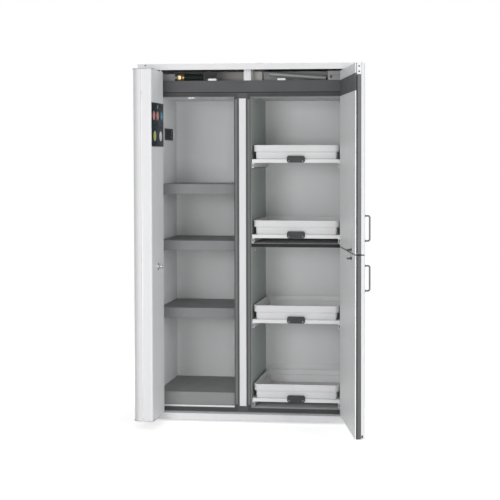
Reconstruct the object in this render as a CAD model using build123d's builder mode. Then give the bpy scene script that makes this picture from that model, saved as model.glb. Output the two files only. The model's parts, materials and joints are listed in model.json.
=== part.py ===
from build123d import *
import os

# Ventilated storage cabinet: one folding door on the left, two stacked wing doors on the right,
# fixed shelves behind the folding door and four pull-out trays behind the wing doors.
# Millimetres. Origin: centre of the body's footprint on the floor. +X right, +Y back, +Z up.

# Body
WIDTH = 1197.0
DEPTH = 617.0
BODY_HEIGHT = 1956.0
FOOT_HEIGHT = 12.0
SHEET = 1.5
TOP_FASCIA = 33.0
SILL_HEIGHT = 34.0
POST_WIDTH = 27.0

# Insulating boards
WALL_BOARD = 80.5
BACK_BOARD = 48.5
CEILING_THICKNESS = 90.0
FLOOR_BOARD = 58.5
ROOF_SPACE = 87.5
PARTITION_WIDTH = 94.0
LEFT_CLEAR_WIDTH = 443.0
DIVIDER_THICKNESS = 20.0
COVER_WIDTH = 38.0
COVER_RETURN = 9.0

# Doors
DOOR_THICKNESS = 50.0
DOOR_SHEET = 1.2
SKIN_DEPTH = 20.0
LINING_DEPTH = 4.5
SKIN_CORNER = 10.0
FOLD_CORNER = 42.0
POST_GAP = 4.0
MEETING_GAP = 8.0
FOLD_GAP = 2.0
TOP_GAP = 10.0
SILL_GAP = 4.0
SPLIT_GAP = 6.0
SPLIT_HEIGHT = 961.0
PIVOT_INSET = 12.0
FOLD_OFFSET = 3.0
LEAF_OPEN_ANGLE = 90.0
WING_OPEN_ANGLE = 103.0
HEAD_STRIP = 50.0
HEAD_BAND = 87.0

# Seals on the front edges of the boards
SEAL_GAP = 3.0
SEAL_THICKNESS = 3.0
SEAL_WIDTH = 12.0
SEAL_MARGIN = 6.0

# Hinges
PIN_RADIUS = 6.0
PIN_DEPTH = 15.0
PIN_COLLAR_RADIUS = 9.0
PIN_COLLAR = 3.0
RUNNING_CLEARANCE = 0.08
MID_BRACKET = 3.0
MID_BRACKET_DEPTH = 18.0
FOLD_BARREL_CLEARANCE = 0.3
FOLD_PIN_RADIUS = 1.5
FOLD_KNUCKLE_GAP = 0.4
FOLD_PLATE = 1.6
FOLD_PLATE_WIDTH = 26.0
FOLD_SEAL_CLEARANCE = 0.5
FOLD_HEAD_GAP = 2.0

# Guide of the folding door
ROLLER_RADIUS = 7.0
ROLLER_HEIGHT = 10.0
ROLLER_STEM_RADIUS = 4.0
ROLLER_COLLAR = 3.0
ROLLER_CLEARANCE = 0.5
TRACK_SHEET = 2.0
TRACK_DEPTH = 26.0
TRACK_END = 18.0

# Door fittings
HANDLE_LENGTH = 125.0
HANDLE_REACH = 30.0
HANDLE_RADIUS = 4.2
HANDLE_SIDES = 8
HANDLE_BEND = 9.0
HANDLE_INSET = 22.0
HANDLE_ABOVE_SPLIT = 66.0
HANDLE_BELOW_SPLIT = 52.0
KNOB_HEIGHT = 854.0
KNOB_RADIUS = 11.0
KNOB_REACH = 26.0
ROSE_RADIUS = 16.0
ROSE_THICKNESS = 4.0
KNOB_NECK_RADIUS = 8.0
KNOB_NECK = 7.0
KNOB_EDGE = 2.0
KEY_SLOT_WIDTH = 2.5
KEY_SLOT_LENGTH = 9.0
KEY_SLOT_DEPTH = 3.0

# Shelves of the left compartment, tops as shares of its clear height
SHELF_SHARES = (0.7193, 0.5358, 0.3163)
SHELF_FRONT = 54.0
SHELF_SHEET = 1.5
SHELF_SETBACK = 60.0
SHELF_SIDE_GAP = 1.0
SHELF_BACK_GAP = 8.0
SUPPORT_REACH = 12.0
SUPPORT_LENGTH = 24.0
SUPPORT_HEIGHT = 9.0
SUPPORT_INSET = 70.0
SUMP_HEIGHT = 78.0
SUMP_SETBACK = 16.0
SUMP_INSERT_GAP = 1.0
SUMP_INSERT_LIFT = 0.3

# Pull-out trays of the right compartments
FLOOR_TO_RUNNER = 5.5
DIVIDER_TO_RUNNER = 1.5
LOWER_PITCH_SHARE = 0.4905
UPPER_PITCH_SHARE = 0.5149
DRAWER_SETBACK = 9.0
DRAWER_BACK_GAP = 7.0
STRIP_HEIGHT = 20.0
STRIP_SIDE_GAP = 4.0
FRAME_SHEET = 1.5
RUNNER_HEIGHT = 27.0
RUNNER_REACH = 13.0
RUNNER_SHEET = 1.5
RUNNER_GAP = 0.3
MID_RAIL_OFFSET = 5.0
DRAWER_RAIL_OFFSET = 8.0
RUNNER_TOP_GAP = 0.5
TRAY_RIM_HEIGHT = 36.0
TRAY_FOOT_HEIGHT = 42.0
TRAY_WALL = 4.0
TRAY_SIDE_GAP = 8.0
TRAY_STEP = 11.0
TRAY_FRONT_STEP = 5.0
TRAY_FRONT_GAP = 2.0
TRAY_DRAFT = 2.5
TRAY_CORNER = 22.0
TRAY_FOOT_CORNER = 14.0
GRIP_WIDTH = 100.0
GRIP_HEIGHT = 38.0
GRIP_THICKNESS = 5.5
GRIP_CHAMFER = 8.0
GRIP_RAISE = 1.0
GRIP_POCKET_WIDTH = 78.0
GRIP_POCKET_HEIGHT = 14.0
GRIP_POCKET_DEPTH = 3.5

# Ventilation
GRILLE_LENGTH = 195.0
GRILLE_HEIGHT = 68.0
GRILLE_THICKNESS = 2.5
GRILLE_PLACE_SHARE = 0.6175
GRILLE_TOP_DROP = 166.0
GRILLE_SLOT_LENGTH = 82.0
GRILLE_SLOT_HEIGHT = 5.0
GRILLE_SLOT_PITCH = 92.0
GRILLE_ROW_PITCH = 10.5
GRILLE_ROWS = 5
VENT_POCKET_DEPTH = 30.0
VENT_POCKET_MARGIN = 6.0
SPIGOT_RADIUS = 37.5
SPIGOT_WALL = 1.5
SPIGOT_HEIGHT = 38.0
SPIGOT_FLANGE = 116.0
SPIGOT_FLANGE_SHEET = 2.0
SPIGOT_FROM_BACK = 110.0

# Closing mechanism in the roof space, places along it as shares of the width
CLOSER_RADIUS = 20.0
CLOSER_LENGTH = 102.0
CLOSER_SHARE = 0.2013
CLOSER_SETBACK = 42.0
CLOSER_FITTING = 55.0
CLOSER_NUT_RADIUS = 17.0
CLOSER_NUT_LENGTH = 37.0
CLOSER_ROD_RADIUS = 11.0
LEVER_LENGTH = 85.0
LEVER_HEIGHT = 40.0
LEVER_THICKNESS = 12.0
TUBE_START_SHARE = 0.5982
TUBE_END_SHARE = 0.8613
TUBE_RADIUS = 13.0
TUBE_SETBACK = 34.0
TUBE_DROP = 24.0
CENTRE_BLOCK_WIDTH = 40.0
CENTRE_BLOCK_DEPTH = 150.0
CENTRE_BLOCK_SETBACK = 6.0
END_BRACKET_WIDTH = 85.0
END_BRACKET_DEPTH = 60.0
END_BRACKET_HEIGHT = 50.0
END_BRACKET_HOLE = 7.0
END_BRACKET_HOLE_INSET = 18.0
CATCH_WIDTH = 44.0
CATCH_DEPTH = 30.0
CATCH_HEIGHT = 11.0
CATCH_SHARES = (0.3367, 0.6583)

# Levelling feet
FOOT_RADIUS = 20.0
FOOT_DISC = 7.0
FOOT_STEM_RADIUS = 7.0
FOOT_SIDES = 6
FOOT_INSET = 80.0

# Body planes
left = -WIDTH / 2
right = WIDTH / 2
front = -DEPTH / 2
back = DEPTH / 2
base = FOOT_HEIGHT
top = FOOT_HEIGHT + BODY_HEIGHT

# Board planes
carcass_front = front + DOOR_THICKNESS + SEAL_GAP + SEAL_THICKNESS
carcass_back = back - SHEET
sill_top = base + SILL_HEIGHT
fascia_bottom = top - TOP_FASCIA
floor_top = base + SHEET + FLOOR_BOARD
ceiling_top = top - SHEET - ROOF_SPACE
ceiling_bottom = ceiling_top - CEILING_THICKNESS
inner_left = left + SHEET + WALL_BOARD
inner_right = right - SHEET - WALL_BOARD
inner_back = carcass_back - BACK_BOARD
partition_left = inner_left + LEFT_CLEAR_WIDTH
partition_right = partition_left + PARTITION_WIDTH
split_z = base + SPLIT_HEIGHT
divider_bottom = split_z - DIVIDER_THICKNESS / 2
divider_top = split_z + DIVIDER_THICKNESS / 2

# Door planes
doors_left = left + POST_WIDTH + POST_GAP
doors_right = right - POST_WIDTH - POST_GAP
meeting_x = (partition_left + partition_right) / 2
leaf_width = (meeting_x - MEETING_GAP / 2 - doors_left - FOLD_GAP) / 2
wing_left = meeting_x + MEETING_GAP / 2
wing_width = doors_right - wing_left
doors_bottom = sill_top + SILL_GAP
doors_top = fascia_bottom - TOP_GAP
leaf_height = doors_top - doors_bottom
lower_wing_height = split_z - SPLIT_GAP / 2 - doors_bottom
upper_wing_bottom = split_z + SPLIT_GAP / 2
upper_wing_height = doors_top - upper_wing_bottom

# Hinge axes, seen from above with the doors closed
pivot_y = front + PIVOT_INSET
left_pivot = Vector(doors_left + PIVOT_INSET, pivot_y)
right_pivot = Vector(doors_right - PIVOT_INSET, pivot_y)
fold_axis = Vector(doors_left + leaf_width + FOLD_GAP / 2, front + DOOR_THICKNESS + FOLD_OFFSET)

os.makedirs("parts", exist_ok=True)


def block(x_span, y_span, z_span, mode=Mode.ADD):
    """Adds a box that fills the three spans to the part being built."""
    sizes = [span[1] - span[0] for span in (x_span, y_span, z_span)]
    centre = [(span[0] + span[1]) / 2 for span in (x_span, y_span, z_span)]
    with Locations(tuple(centre)):
        Box(*sizes, mode=mode)


def folded_sheet(plane, points, thickness, length):
    """Extrudes a folded sheet section that lies to the left of the line through the points."""
    with BuildPart() as piece:
        with BuildSketch(plane):
            with BuildLine():
                Polyline(*points)
                offset(amount=thickness, side=Side.LEFT, kind=Kind.INTERSECTION)
            make_face()
        extrude(amount=length)
    return piece.part


def swung_plane(pivot, corner, angle, start_angle=0.0, height=0.0):
    """Plane at a door's outer corner after the door has swung about its pivot."""
    moved = pivot + (corner - pivot).rotate(Axis.Z, angle)
    run = Vector(1, 0, 0).rotate(Axis.Z, start_angle + angle)
    return Plane(origin=(moved.X, moved.Y, height), x_dir=run, z_dir=(0, 0, 1))


# Folded casing: side panels with front posts
left_section = [
    (left, back),
    (left, front),
    (left + POST_WIDTH, front),
    (left + POST_WIDTH, carcass_front),
]
right_section = [
    (right - POST_WIDTH, carcass_front),
    (right - POST_WIDTH, front),
    (right, front),
    (right, back),
]
panel_height = fascia_bottom - sill_top
left_side_panel = folded_sheet(Plane.XY.offset(sill_top), left_section, SHEET, panel_height)
left_side_panel.label = "left_side_panel"
export_step(left_side_panel, "parts/left_side_panel.step")

right_side_panel = folded_sheet(Plane.XY.offset(sill_top), right_section, SHEET, panel_height)
right_side_panel.label = "right_side_panel"
export_step(right_side_panel, "parts/right_side_panel.step")

# Roof pan with its fascia all round, and the hole that the exhaust duct passes through
spigot_y = back - SPIGOT_FROM_BACK
with BuildPart() as roof_panel:
    block((left, right), (front, back), (fascia_bottom, top))
    offset(amount=-SHEET, openings=roof_panel.faces().sort_by(Axis.Z)[0])
    with Locations((0, spigot_y, top)):
        Cylinder(SPIGOT_RADIUS, TOP_FASCIA, mode=Mode.SUBTRACT)
roof_panel.part.label = "roof_panel"
export_step(roof_panel.part, "parts/roof_panel.step")

# Base pan with the sill that the doors close over
with BuildPart() as base_panel:
    block((left, right), (front, back), (base, sill_top))
    offset(amount=-SHEET, openings=base_panel.faces().sort_by(Axis.Z)[-1])
    block((left + SHEET, right - SHEET), (front + SHEET, carcass_front), (sill_top - SHEET, sill_top))
base_panel.part.label = "base_panel"
export_step(base_panel.part, "parts/base_panel.step")

with BuildPart() as back_panel:
    block((left + SHEET, right - SHEET), (carcass_back, back), (sill_top, fascia_bottom))
back_panel.part.label = "back_panel"
export_step(back_panel.part, "parts/back_panel.step")

# Insulating boards
board_x = (left + SHEET, right - SHEET)
board_y = (carcass_front, carcass_back)
chamber_z = (floor_top, ceiling_bottom)
with BuildPart() as floor_board:
    block(board_x, board_y, (base + SHEET, floor_top))
floor_board.part.label = "floor_board"
export_step(floor_board.part, "parts/floor_board.step")

with BuildPart() as ceiling_board:
    block(board_x, board_y, (ceiling_bottom, ceiling_top))
ceiling_board.part.label = "ceiling_board"
export_step(ceiling_board.part, "parts/ceiling_board.step")

grille_y = carcass_front + GRILLE_PLACE_SHARE * (inner_back - carcass_front)
grille_z = ceiling_bottom - GRILLE_TOP_DROP - GRILLE_HEIGHT / 2
vent_length = GRILLE_LENGTH - 2 * VENT_POCKET_MARGIN
vent_height = GRILLE_HEIGHT - 2 * VENT_POCKET_MARGIN
with BuildPart() as left_wall_board:
    block((left + SHEET, inner_left), board_y, chamber_z)
    with BuildSketch(Plane.YZ.offset(inner_left)):
        with Locations((grille_y, grille_z)):
            Rectangle(vent_length, vent_height)
    extrude(amount=-VENT_POCKET_DEPTH, mode=Mode.SUBTRACT)
left_wall_board.part.label = "left_wall_board"
export_step(left_wall_board.part, "parts/left_wall_board.step")

with BuildPart() as right_wall_board:
    block((inner_right, right - SHEET), board_y, chamber_z)
right_wall_board.part.label = "right_wall_board"
export_step(right_wall_board.part, "parts/right_wall_board.step")

with BuildPart() as back_wall_board:
    block((inner_left, inner_right), (inner_back, carcass_back), chamber_z)
back_wall_board.part.label = "back_wall_board"
export_step(back_wall_board.part, "parts/back_wall_board.step")

with BuildPart() as partition_board:
    block((partition_left, partition_right), (carcass_front, inner_back), chamber_z)
partition_board.part.label = "partition_board"
export_step(partition_board.part, "parts/partition_board.step")

with BuildPart() as compartment_divider:
    block((partition_right, inner_right), (carcass_front, inner_back), (divider_bottom, divider_top))
compartment_divider.part.label = "compartment_divider"
export_step(compartment_divider.part, "parts/compartment_divider.step")

# Cover strip on the partition's front edge
seal_front = carcass_front - SEAL_THICKNESS
with BuildPart() as partition_cover:
    block(
        (meeting_x - COVER_WIDTH / 2, meeting_x + COVER_WIDTH / 2),
        (seal_front, carcass_front),
        (floor_top + COVER_RETURN, ceiling_bottom - COVER_RETURN),
    )
    chamfer(partition_cover.faces().sort_by(Axis.Y)[0].edges().filter_by(Axis.Z), length=SHEET)
partition_cover.part.label = "partition_cover"
export_step(partition_cover.part, "parts/partition_cover.step")

# Door seals: one flat strip round each compartment opening
with BuildPart() as front_seal:
    for x_low, x_high in ((inner_left, partition_left), (partition_right, inner_right)):
        opening_x = (x_low + x_high) / 2
        opening_z = (floor_top + ceiling_bottom) / 2
        inner_width = x_high - x_low + 2 * SEAL_MARGIN
        inner_height = ceiling_bottom - floor_top + 2 * SEAL_MARGIN
        with BuildSketch(Plane.XZ.offset(-seal_front)):
            with Locations((opening_x, opening_z)):
                Rectangle(inner_width + 2 * SEAL_WIDTH, inner_height + 2 * SEAL_WIDTH)
                Rectangle(inner_width, inner_height, mode=Mode.SUBTRACT)
        extrude(amount=-SEAL_THICKNESS)
front_seal.part.label = "front_seal"
export_step(front_seal.part, "parts/front_seal.step")

# Vent grille on the left wall
with BuildPart() as left_wall_grille:
    with BuildSketch(Plane.YZ.offset(inner_left)):
        with Locations((grille_y, grille_z)):
            Rectangle(GRILLE_LENGTH, GRILLE_HEIGHT)
            with GridLocations(GRILLE_SLOT_PITCH, GRILLE_ROW_PITCH, 2, GRILLE_ROWS):
                Rectangle(GRILLE_SLOT_LENGTH, GRILLE_SLOT_HEIGHT, mode=Mode.SUBTRACT)
    extrude(amount=GRILLE_THICKNESS)
left_wall_grille.part.label = "left_wall_grille"
export_step(left_wall_grille.part, "parts/left_wall_grille.step")

# Exhaust duct from the ceiling board through the roof, with a flange that covers the hole
with BuildPart() as exhaust_spigot:
    with BuildSketch(Plane.XY.offset(ceiling_top)):
        with Locations((0, spigot_y)):
            Circle(SPIGOT_RADIUS)
    extrude(amount=top + SPIGOT_HEIGHT - ceiling_top)
    with BuildSketch(Plane.XY.offset(top)):
        with Locations((0, spigot_y)):
            Rectangle(SPIGOT_FLANGE, SPIGOT_FLANGE)
    extrude(amount=SPIGOT_FLANGE_SHEET)
    with BuildSketch(Plane.XY.offset(ceiling_top)):
        with Locations((0, spigot_y)):
            Circle(SPIGOT_RADIUS - SPIGOT_WALL)
    extrude(amount=top + SPIGOT_HEIGHT - ceiling_top, mode=Mode.SUBTRACT)
exhaust_spigot.part.label = "exhaust_spigot"
export_step(exhaust_spigot.part, "parts/exhaust_spigot.step")

# Levelling feet: a pad and a screw head, both with flats for a spanner
with BuildPart() as levelling_feet:
    for radius, height in ((FOOT_RADIUS, FOOT_DISC), (FOOT_STEM_RADIUS, FOOT_HEIGHT)):
        with BuildSketch():
            with GridLocations(WIDTH - 2 * FOOT_INSET, DEPTH - 2 * FOOT_INSET, 2, 2):
                RegularPolygon(radius, FOOT_SIDES)
        extrude(amount=height)
levelling_feet.part.label = "levelling_feet"
export_step(levelling_feet.part, "parts/levelling_feet.step")

# Shelves: folded pans with the skirt turned down, and the clips that carry them
shelf_x = (inner_left + SHELF_SIDE_GAP, partition_left - SHELF_SIDE_GAP)
shelf_y = (carcass_front + SHELF_SETBACK, inner_back - SHELF_BACK_GAP)
shelf_tops = [floor_top + share * (ceiling_bottom - floor_top) for share in SHELF_SHARES]
with BuildPart() as shelves:
    for shelf_top in shelf_tops:
        block(shelf_x, shelf_y, (shelf_top - SHELF_FRONT, shelf_top))
    undersides = [solid.faces().sort_by(Axis.Z)[0] for solid in shelves.solids()]
    offset(amount=-SHELF_SHEET, openings=undersides)
shelves.part.label = "shelves"
export_step(shelves.part, "parts/shelves.step")

with BuildPart() as shelf_supports:
    for shelf_top in shelf_tops:
        support_top = shelf_top - SHELF_FRONT
        for x_span in (
            (inner_left, inner_left + SUPPORT_REACH),
            (partition_left - SUPPORT_REACH, partition_left),
        ):
            for middle in (shelf_y[0] + SUPPORT_INSET, shelf_y[1] - SUPPORT_INSET):
                y_span = (middle - SUPPORT_LENGTH / 2, middle + SUPPORT_LENGTH / 2)
                block(x_span, y_span, (support_top - SUPPORT_HEIGHT, support_top))
shelf_supports.part.label = "shelf_supports"
export_step(shelf_supports.part, "parts/shelf_supports.step")

# Sump on the floor of the left compartment: an open pan and the folded insert that bottles stand on
sump_x = (inner_left + SHELF_SIDE_GAP, partition_left - SHELF_SIDE_GAP)
sump_y = (carcass_front + SUMP_SETBACK, inner_back - SHELF_SIDE_GAP)
sump_top = floor_top + SUMP_HEIGHT
insert_inset = SHELF_SHEET + SUMP_INSERT_GAP
with BuildPart() as sump_insert:
    block(
        (sump_x[0] + insert_inset, sump_x[1] - insert_inset),
        (sump_y[0] + insert_inset, sump_y[1] - insert_inset),
        (floor_top + SHELF_SHEET + SUMP_INSERT_LIFT, sump_top),
    )
    offset(amount=-SHELF_SHEET, openings=sump_insert.faces().sort_by(Axis.Z)[0])

with BuildPart() as sump_tray:
    block(sump_x, sump_y, (floor_top, sump_top))
    offset(amount=-SHELF_SHEET, openings=sump_tray.faces().sort_by(Axis.Z)[-1])
    add(sump_insert.part)
sump_tray.part.label = "sump_tray"
export_step(sump_tray.part, "parts/sump_tray.step")


# Doors: a folded outer skin, an insulating core and a folded lining
def door_skin(plane, width, height, bores, ends):
    """Outer sheet folded round both ends, with a flange along its top and bottom edges.

    ends are the (corner radius, return depth) of the first and the last end; bores are the
    (x, end height, direction) of the pivots.
    """
    (first_radius, first_depth), (last_radius, last_depth) = ends
    with BuildPart(plane) as skin:
        with BuildSketch(plane) as section:
            with BuildLine():
                Line((0, first_depth), (0, first_radius))
                JernArc((0, first_radius), (0, -1), first_radius, 90)
                Line((first_radius, 0), (width - last_radius, 0))
                JernArc((width - last_radius, 0), (1, 0), last_radius, 90)
                Line((width, last_radius), (width, last_depth))
                offset(amount=DOOR_SHEET, side=Side.LEFT)
            make_face()
        extrude(section.sketch, amount=height)
        for z_span in ((0, DOOR_SHEET), (height - DOOR_SHEET, height)):
            block((first_radius, width - last_radius), (0, SKIN_DEPTH), z_span)
        bore_pivots(bores)
    return skin.part


def door_core(plane, width, height, bores, ends):
    """Insulating board that fills the door between its skin and its lining."""
    first_edge, last_edge = Axis(plane.origin, plane.x_dir), Axis(plane.origin, plane.x_dir * -1)
    depth_axis = Axis(plane.origin, plane.y_dir)
    with BuildPart(plane) as core:
        block(
            (DOOR_SHEET, width - DOOR_SHEET),
            (DOOR_SHEET, DOOR_THICKNESS - DOOR_SHEET),
            (DOOR_SHEET, height - DOOR_SHEET),
        )
        for edge_axis, (radius, depth) in zip((first_edge, last_edge), ends):
            outer_stiles = core.edges().filter_by(Axis.Z).sort_by(depth_axis)[:2]
            fillet(outer_stiles.sort_by(edge_axis)[0], radius=radius)
        bore_pivots(bores)
    return core.part


def bore_pivots(bores):
    """Cuts the blind holes for the pivot pins out of the part being built."""
    for x, end, direction in bores:
        reach = PIN_DEPTH + RUNNING_CLEARANCE
        with Locations((x, PIVOT_INSET, end - direction * reach / 2)):
            Cylinder(PIN_RADIUS + RUNNING_CLEARANCE, reach, mode=Mode.SUBTRACT)


def door_lining(plane, width, height, ends, open_head):
    """Inner pan, open where the skin wraps an end; a door that reaches the roof has a bare band
    and a head strip above it.
    """
    depth_axis, run_axis = Axis(plane.origin, plane.y_dir), Axis(plane.origin, plane.x_dir)
    insets = [DOOR_SHEET if depth > SKIN_DEPTH else 0 for radius, depth in ends]
    pan_top = height - HEAD_STRIP - HEAD_BAND if open_head else height
    spans = [(0, pan_top)]
    if open_head:
        spans.append((height - HEAD_STRIP, height))
    with BuildPart(plane) as lining:
        for z_span in spans:
            x_span = (insets[0], width - insets[1])
            block(x_span, (DOOR_THICKNESS - LINING_DEPTH, DOOR_THICKNESS), z_span)
        open_faces = lining.faces().sort_by(depth_axis)[: len(spans)]
        open_faces += lining.faces().filter_by(Axis.Z).sort_by(Axis.Z)[1:-1]
        end_faces = lining.faces().sort_by(run_axis)
        if insets[0]:
            open_faces += end_faces[: len(spans)]
        if insets[1]:
            open_faces += end_faces[-len(spans):]
        offset(amount=-DOOR_SHEET, openings=open_faces)
    return lining.part


def save_door(name, plane, width, height, bores, ends, open_head):
    """Writes the three layers of one door leaf."""
    layers = {
        "skin": door_skin(plane, width, height, bores, ends),
        "core": door_core(plane, width, height, bores, ends),
        "lining": door_lining(plane, width, height, ends, open_head),
    }
    for layer, piece in layers.items():
        piece.label = f"{name}_{layer}"
        export_step(piece, f"parts/{name}_{layer}.step")


leaf_1_plane = swung_plane(left_pivot, Vector(doors_left, front), -LEAF_OPEN_ANGLE, height=doors_bottom)
leaf_2_corner = Vector(fold_axis.X + FOLD_GAP / 2, front)
leaf_2_folded = fold_axis + (leaf_2_corner - fold_axis).rotate(Axis.Z, 2 * LEAF_OPEN_ANGLE)
leaf_2_plane = swung_plane(left_pivot, leaf_2_folded, -LEAF_OPEN_ANGLE, 2 * LEAF_OPEN_ANGLE, doors_bottom)
wing_corner = Vector(wing_left, front)
lower_wing_plane = swung_plane(right_pivot, wing_corner, WING_OPEN_ANGLE, height=doors_bottom)
upper_wing_plane = swung_plane(right_pivot, wing_corner, WING_OPEN_ANGLE, height=upper_wing_bottom)

wing_pivot_x = wing_width - PIVOT_INSET
leaf_1_bores = [(PIVOT_INSET, 0, -1), (PIVOT_INSET, leaf_height, 1)]
lower_wing_bores = [(wing_pivot_x, 0, -1), (wing_pivot_x, lower_wing_height, 1)]
upper_wing_bores = [(wing_pivot_x, 0, -1), (wing_pivot_x, upper_wing_height, 1)]
plain_end = (SKIN_CORNER, SKIN_DEPTH)
leaf_1_ends = (plain_end, (FOLD_CORNER, DOOR_THICKNESS))
leaf_2_ends = ((SKIN_CORNER, DOOR_THICKNESS), plain_end)
wing_ends = (plain_end, plain_end)
save_door("leaf_1", leaf_1_plane, leaf_width, leaf_height, leaf_1_bores, leaf_1_ends, True)
save_door("leaf_2", leaf_2_plane, leaf_width, leaf_height, [], leaf_2_ends, True)
save_door("lower_door", lower_wing_plane, wing_width, lower_wing_height, lower_wing_bores, wing_ends, False)
save_door("upper_door", upper_wing_plane, wing_width, upper_wing_height, upper_wing_bores, wing_ends, True)

# Fixed pivot pins: roof and sill pins, and the bracket between the two wing doors
with BuildPart() as hinge_pins:
    roof_underside = top - SHEET
    for pivot in (left_pivot, right_pivot):
        with Locations((pivot.X, pivot.Y, doors_top - PIN_DEPTH)):
            Cylinder(
                PIN_RADIUS,
                roof_underside - doors_top + PIN_DEPTH,
                align=(Align.CENTER, Align.CENTER, Align.MIN),
            )
        with Locations((pivot.X, pivot.Y, fascia_bottom)):
            Cylinder(
                PIN_COLLAR_RADIUS,
                roof_underside - fascia_bottom,
                align=(Align.CENTER, Align.CENTER, Align.MIN),
            )
        with Locations((pivot.X, pivot.Y, sill_top)):
            Cylinder(PIN_RADIUS, SILL_GAP + PIN_DEPTH, align=(Align.CENTER, Align.CENTER, Align.MIN))
            Cylinder(PIN_COLLAR_RADIUS, PIN_COLLAR, align=(Align.CENTER, Align.CENTER, Align.MIN))
    with Locations((right_pivot.X, right_pivot.Y, split_z)):
        Cylinder(PIN_RADIUS, SPLIT_GAP + 2 * PIN_DEPTH)
    block(
        (right_pivot.X - PIN_COLLAR_RADIUS, right - POST_WIDTH),
        (right_pivot.Y - MID_BRACKET_DEPTH / 2, right_pivot.Y + MID_BRACKET_DEPTH / 2),
        (split_z - MID_BRACKET / 2, split_z + MID_BRACKET / 2),
    )
hinge_pins.part.label = "hinge_pins"
export_step(hinge_pins.part, "parts/hinge_pins.step")

# Hinge along the fold: long knuckles on a pin, the outer two on the first leaf and the middle one on
# the second, and a short one that covers the fold above the door seal
fold_rest = left_pivot + (fold_axis - left_pivot).rotate(Axis.Z, -LEAF_OPEN_ANGLE)
fold_plane = Plane(origin=(fold_rest.X, fold_rest.Y, 0), x_dir=(0, 1, 0), z_dir=(0, 0, 1))
barrel_radius = FOLD_OFFSET - FOLD_BARREL_CLEARANCE
fold_low = floor_top - SEAL_MARGIN + FOLD_SEAL_CLEARANCE
fold_high = ceiling_bottom + SEAL_MARGIN - FOLD_SEAL_CLEARANCE
knuckle = (fold_high - fold_low - 2 * FOLD_KNUCKLE_GAP) / 3
middle_low = fold_low + knuckle + FOLD_KNUCKLE_GAP
middle_high = fold_high - knuckle - FOLD_KNUCKLE_GAP
head_low = ceiling_bottom + SEAL_MARGIN + SEAL_WIDTH + FOLD_SEAL_CLEARANCE
head_high = doors_top - FOLD_HEAD_GAP


def fold_knuckle(side, low, high):
    """Adds a barrel on the fold axis, with its flap on the lining of the leaf on the given side."""
    edge = side * FOLD_OFFSET
    y_span = sorted((edge, edge - side * FOLD_PLATE))
    block((0, FOLD_PLATE_WIDTH), y_span, (low, high))
    with Locations((0, 0, low)):
        Cylinder(barrel_radius, high - low, align=(Align.CENTER, Align.CENTER, Align.MIN))


with BuildPart(fold_plane) as fold_hinge_outer:
    fold_knuckle(1, fold_low, middle_low - FOLD_KNUCKLE_GAP)
    fold_knuckle(1, middle_high + FOLD_KNUCKLE_GAP, fold_high)
    fold_knuckle(1, head_low, head_high)
    with Locations((0, 0, (fold_low + fold_high) / 2)):
        Cylinder(FOLD_PIN_RADIUS, knuckle + 2 * FOLD_KNUCKLE_GAP)
fold_hinge_outer.part.label = "fold_hinge_outer"
export_step(fold_hinge_outer.part, "parts/fold_hinge_outer.step")

with BuildPart(fold_plane) as fold_hinge_inner:
    fold_knuckle(-1, middle_low, middle_high)
    with Locations((0, 0, (fold_low + fold_high) / 2)):
        Cylinder(FOLD_PIN_RADIUS + RUNNING_CLEARANCE, knuckle, mode=Mode.SUBTRACT)
fold_hinge_inner.part.label = "fold_hinge_inner"
export_step(fold_hinge_inner.part, "parts/fold_hinge_inner.step")

# Guide roller on the second leaf, and the roof track that it runs in
roller_local = (leaf_width - PIVOT_INSET, PIVOT_INSET, leaf_height)
track_bottom = top - SHEET - TRACK_DEPTH
roller_top = top - SHEET - TRACK_SHEET - ROLLER_CLEARANCE - doors_top
with BuildPart(leaf_2_plane) as guide_roller:
    with Locations(roller_local):
        Cylinder(PIN_COLLAR_RADIUS, ROLLER_COLLAR, align=(Align.CENTER, Align.CENTER, Align.MIN))
        Cylinder(ROLLER_STEM_RADIUS, roller_top, align=(Align.CENTER, Align.CENTER, Align.MIN))
    with Locations((roller_local[0], roller_local[1], leaf_height + roller_top - ROLLER_HEIGHT)):
        Cylinder(ROLLER_RADIUS, ROLLER_HEIGHT, align=(Align.CENTER, Align.CENTER, Align.MIN))
guide_roller.part.label = "guide_roller"
export_step(guide_roller.part, "parts/guide_roller.step")

track_half = ROLLER_RADIUS + ROLLER_CLEARANCE
track_start = left_pivot.X + PIN_COLLAR_RADIUS + TRACK_END
track_length = meeting_x + TRACK_END - track_start
track_section = [
    (pivot_y - track_half, track_bottom),
    (pivot_y - track_half, top - SHEET - TRACK_SHEET),
    (pivot_y + track_half, top - SHEET - TRACK_SHEET),
    (pivot_y + track_half, track_bottom),
]
guide_track = folded_sheet(Plane.YZ.offset(track_start), track_section, TRACK_SHEET, track_length)
guide_track.label = "guide_track"
export_step(guide_track, "parts/guide_track.step")


# Bow handles of the wing doors
def bow_handle(plane, low):
    """Bar of eight flats with cut corners on a door's outer face, near its free edge."""
    foot = plane.from_local_coords((HANDLE_INSET, 0, low))
    outward = plane.y_dir * -1
    side = Plane(origin=foot, x_dir=outward, z_dir=outward.cross(Vector(0, 0, 1)))
    reach = HANDLE_REACH - HANDLE_RADIUS
    with BuildPart() as handle:
        with BuildLine(side):
            Polyline(
                (0, 0),
                (reach - HANDLE_BEND, 0),
                (reach, HANDLE_BEND),
                (reach, HANDLE_LENGTH - HANDLE_BEND),
                (reach - HANDLE_BEND, HANDLE_LENGTH),
                (0, HANDLE_LENGTH),
            )
        with BuildSketch(Plane(origin=foot, z_dir=outward)):
            RegularPolygon(HANDLE_RADIUS, HANDLE_SIDES)
        sweep(transition=Transition.RIGHT)
    return handle.part


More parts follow.
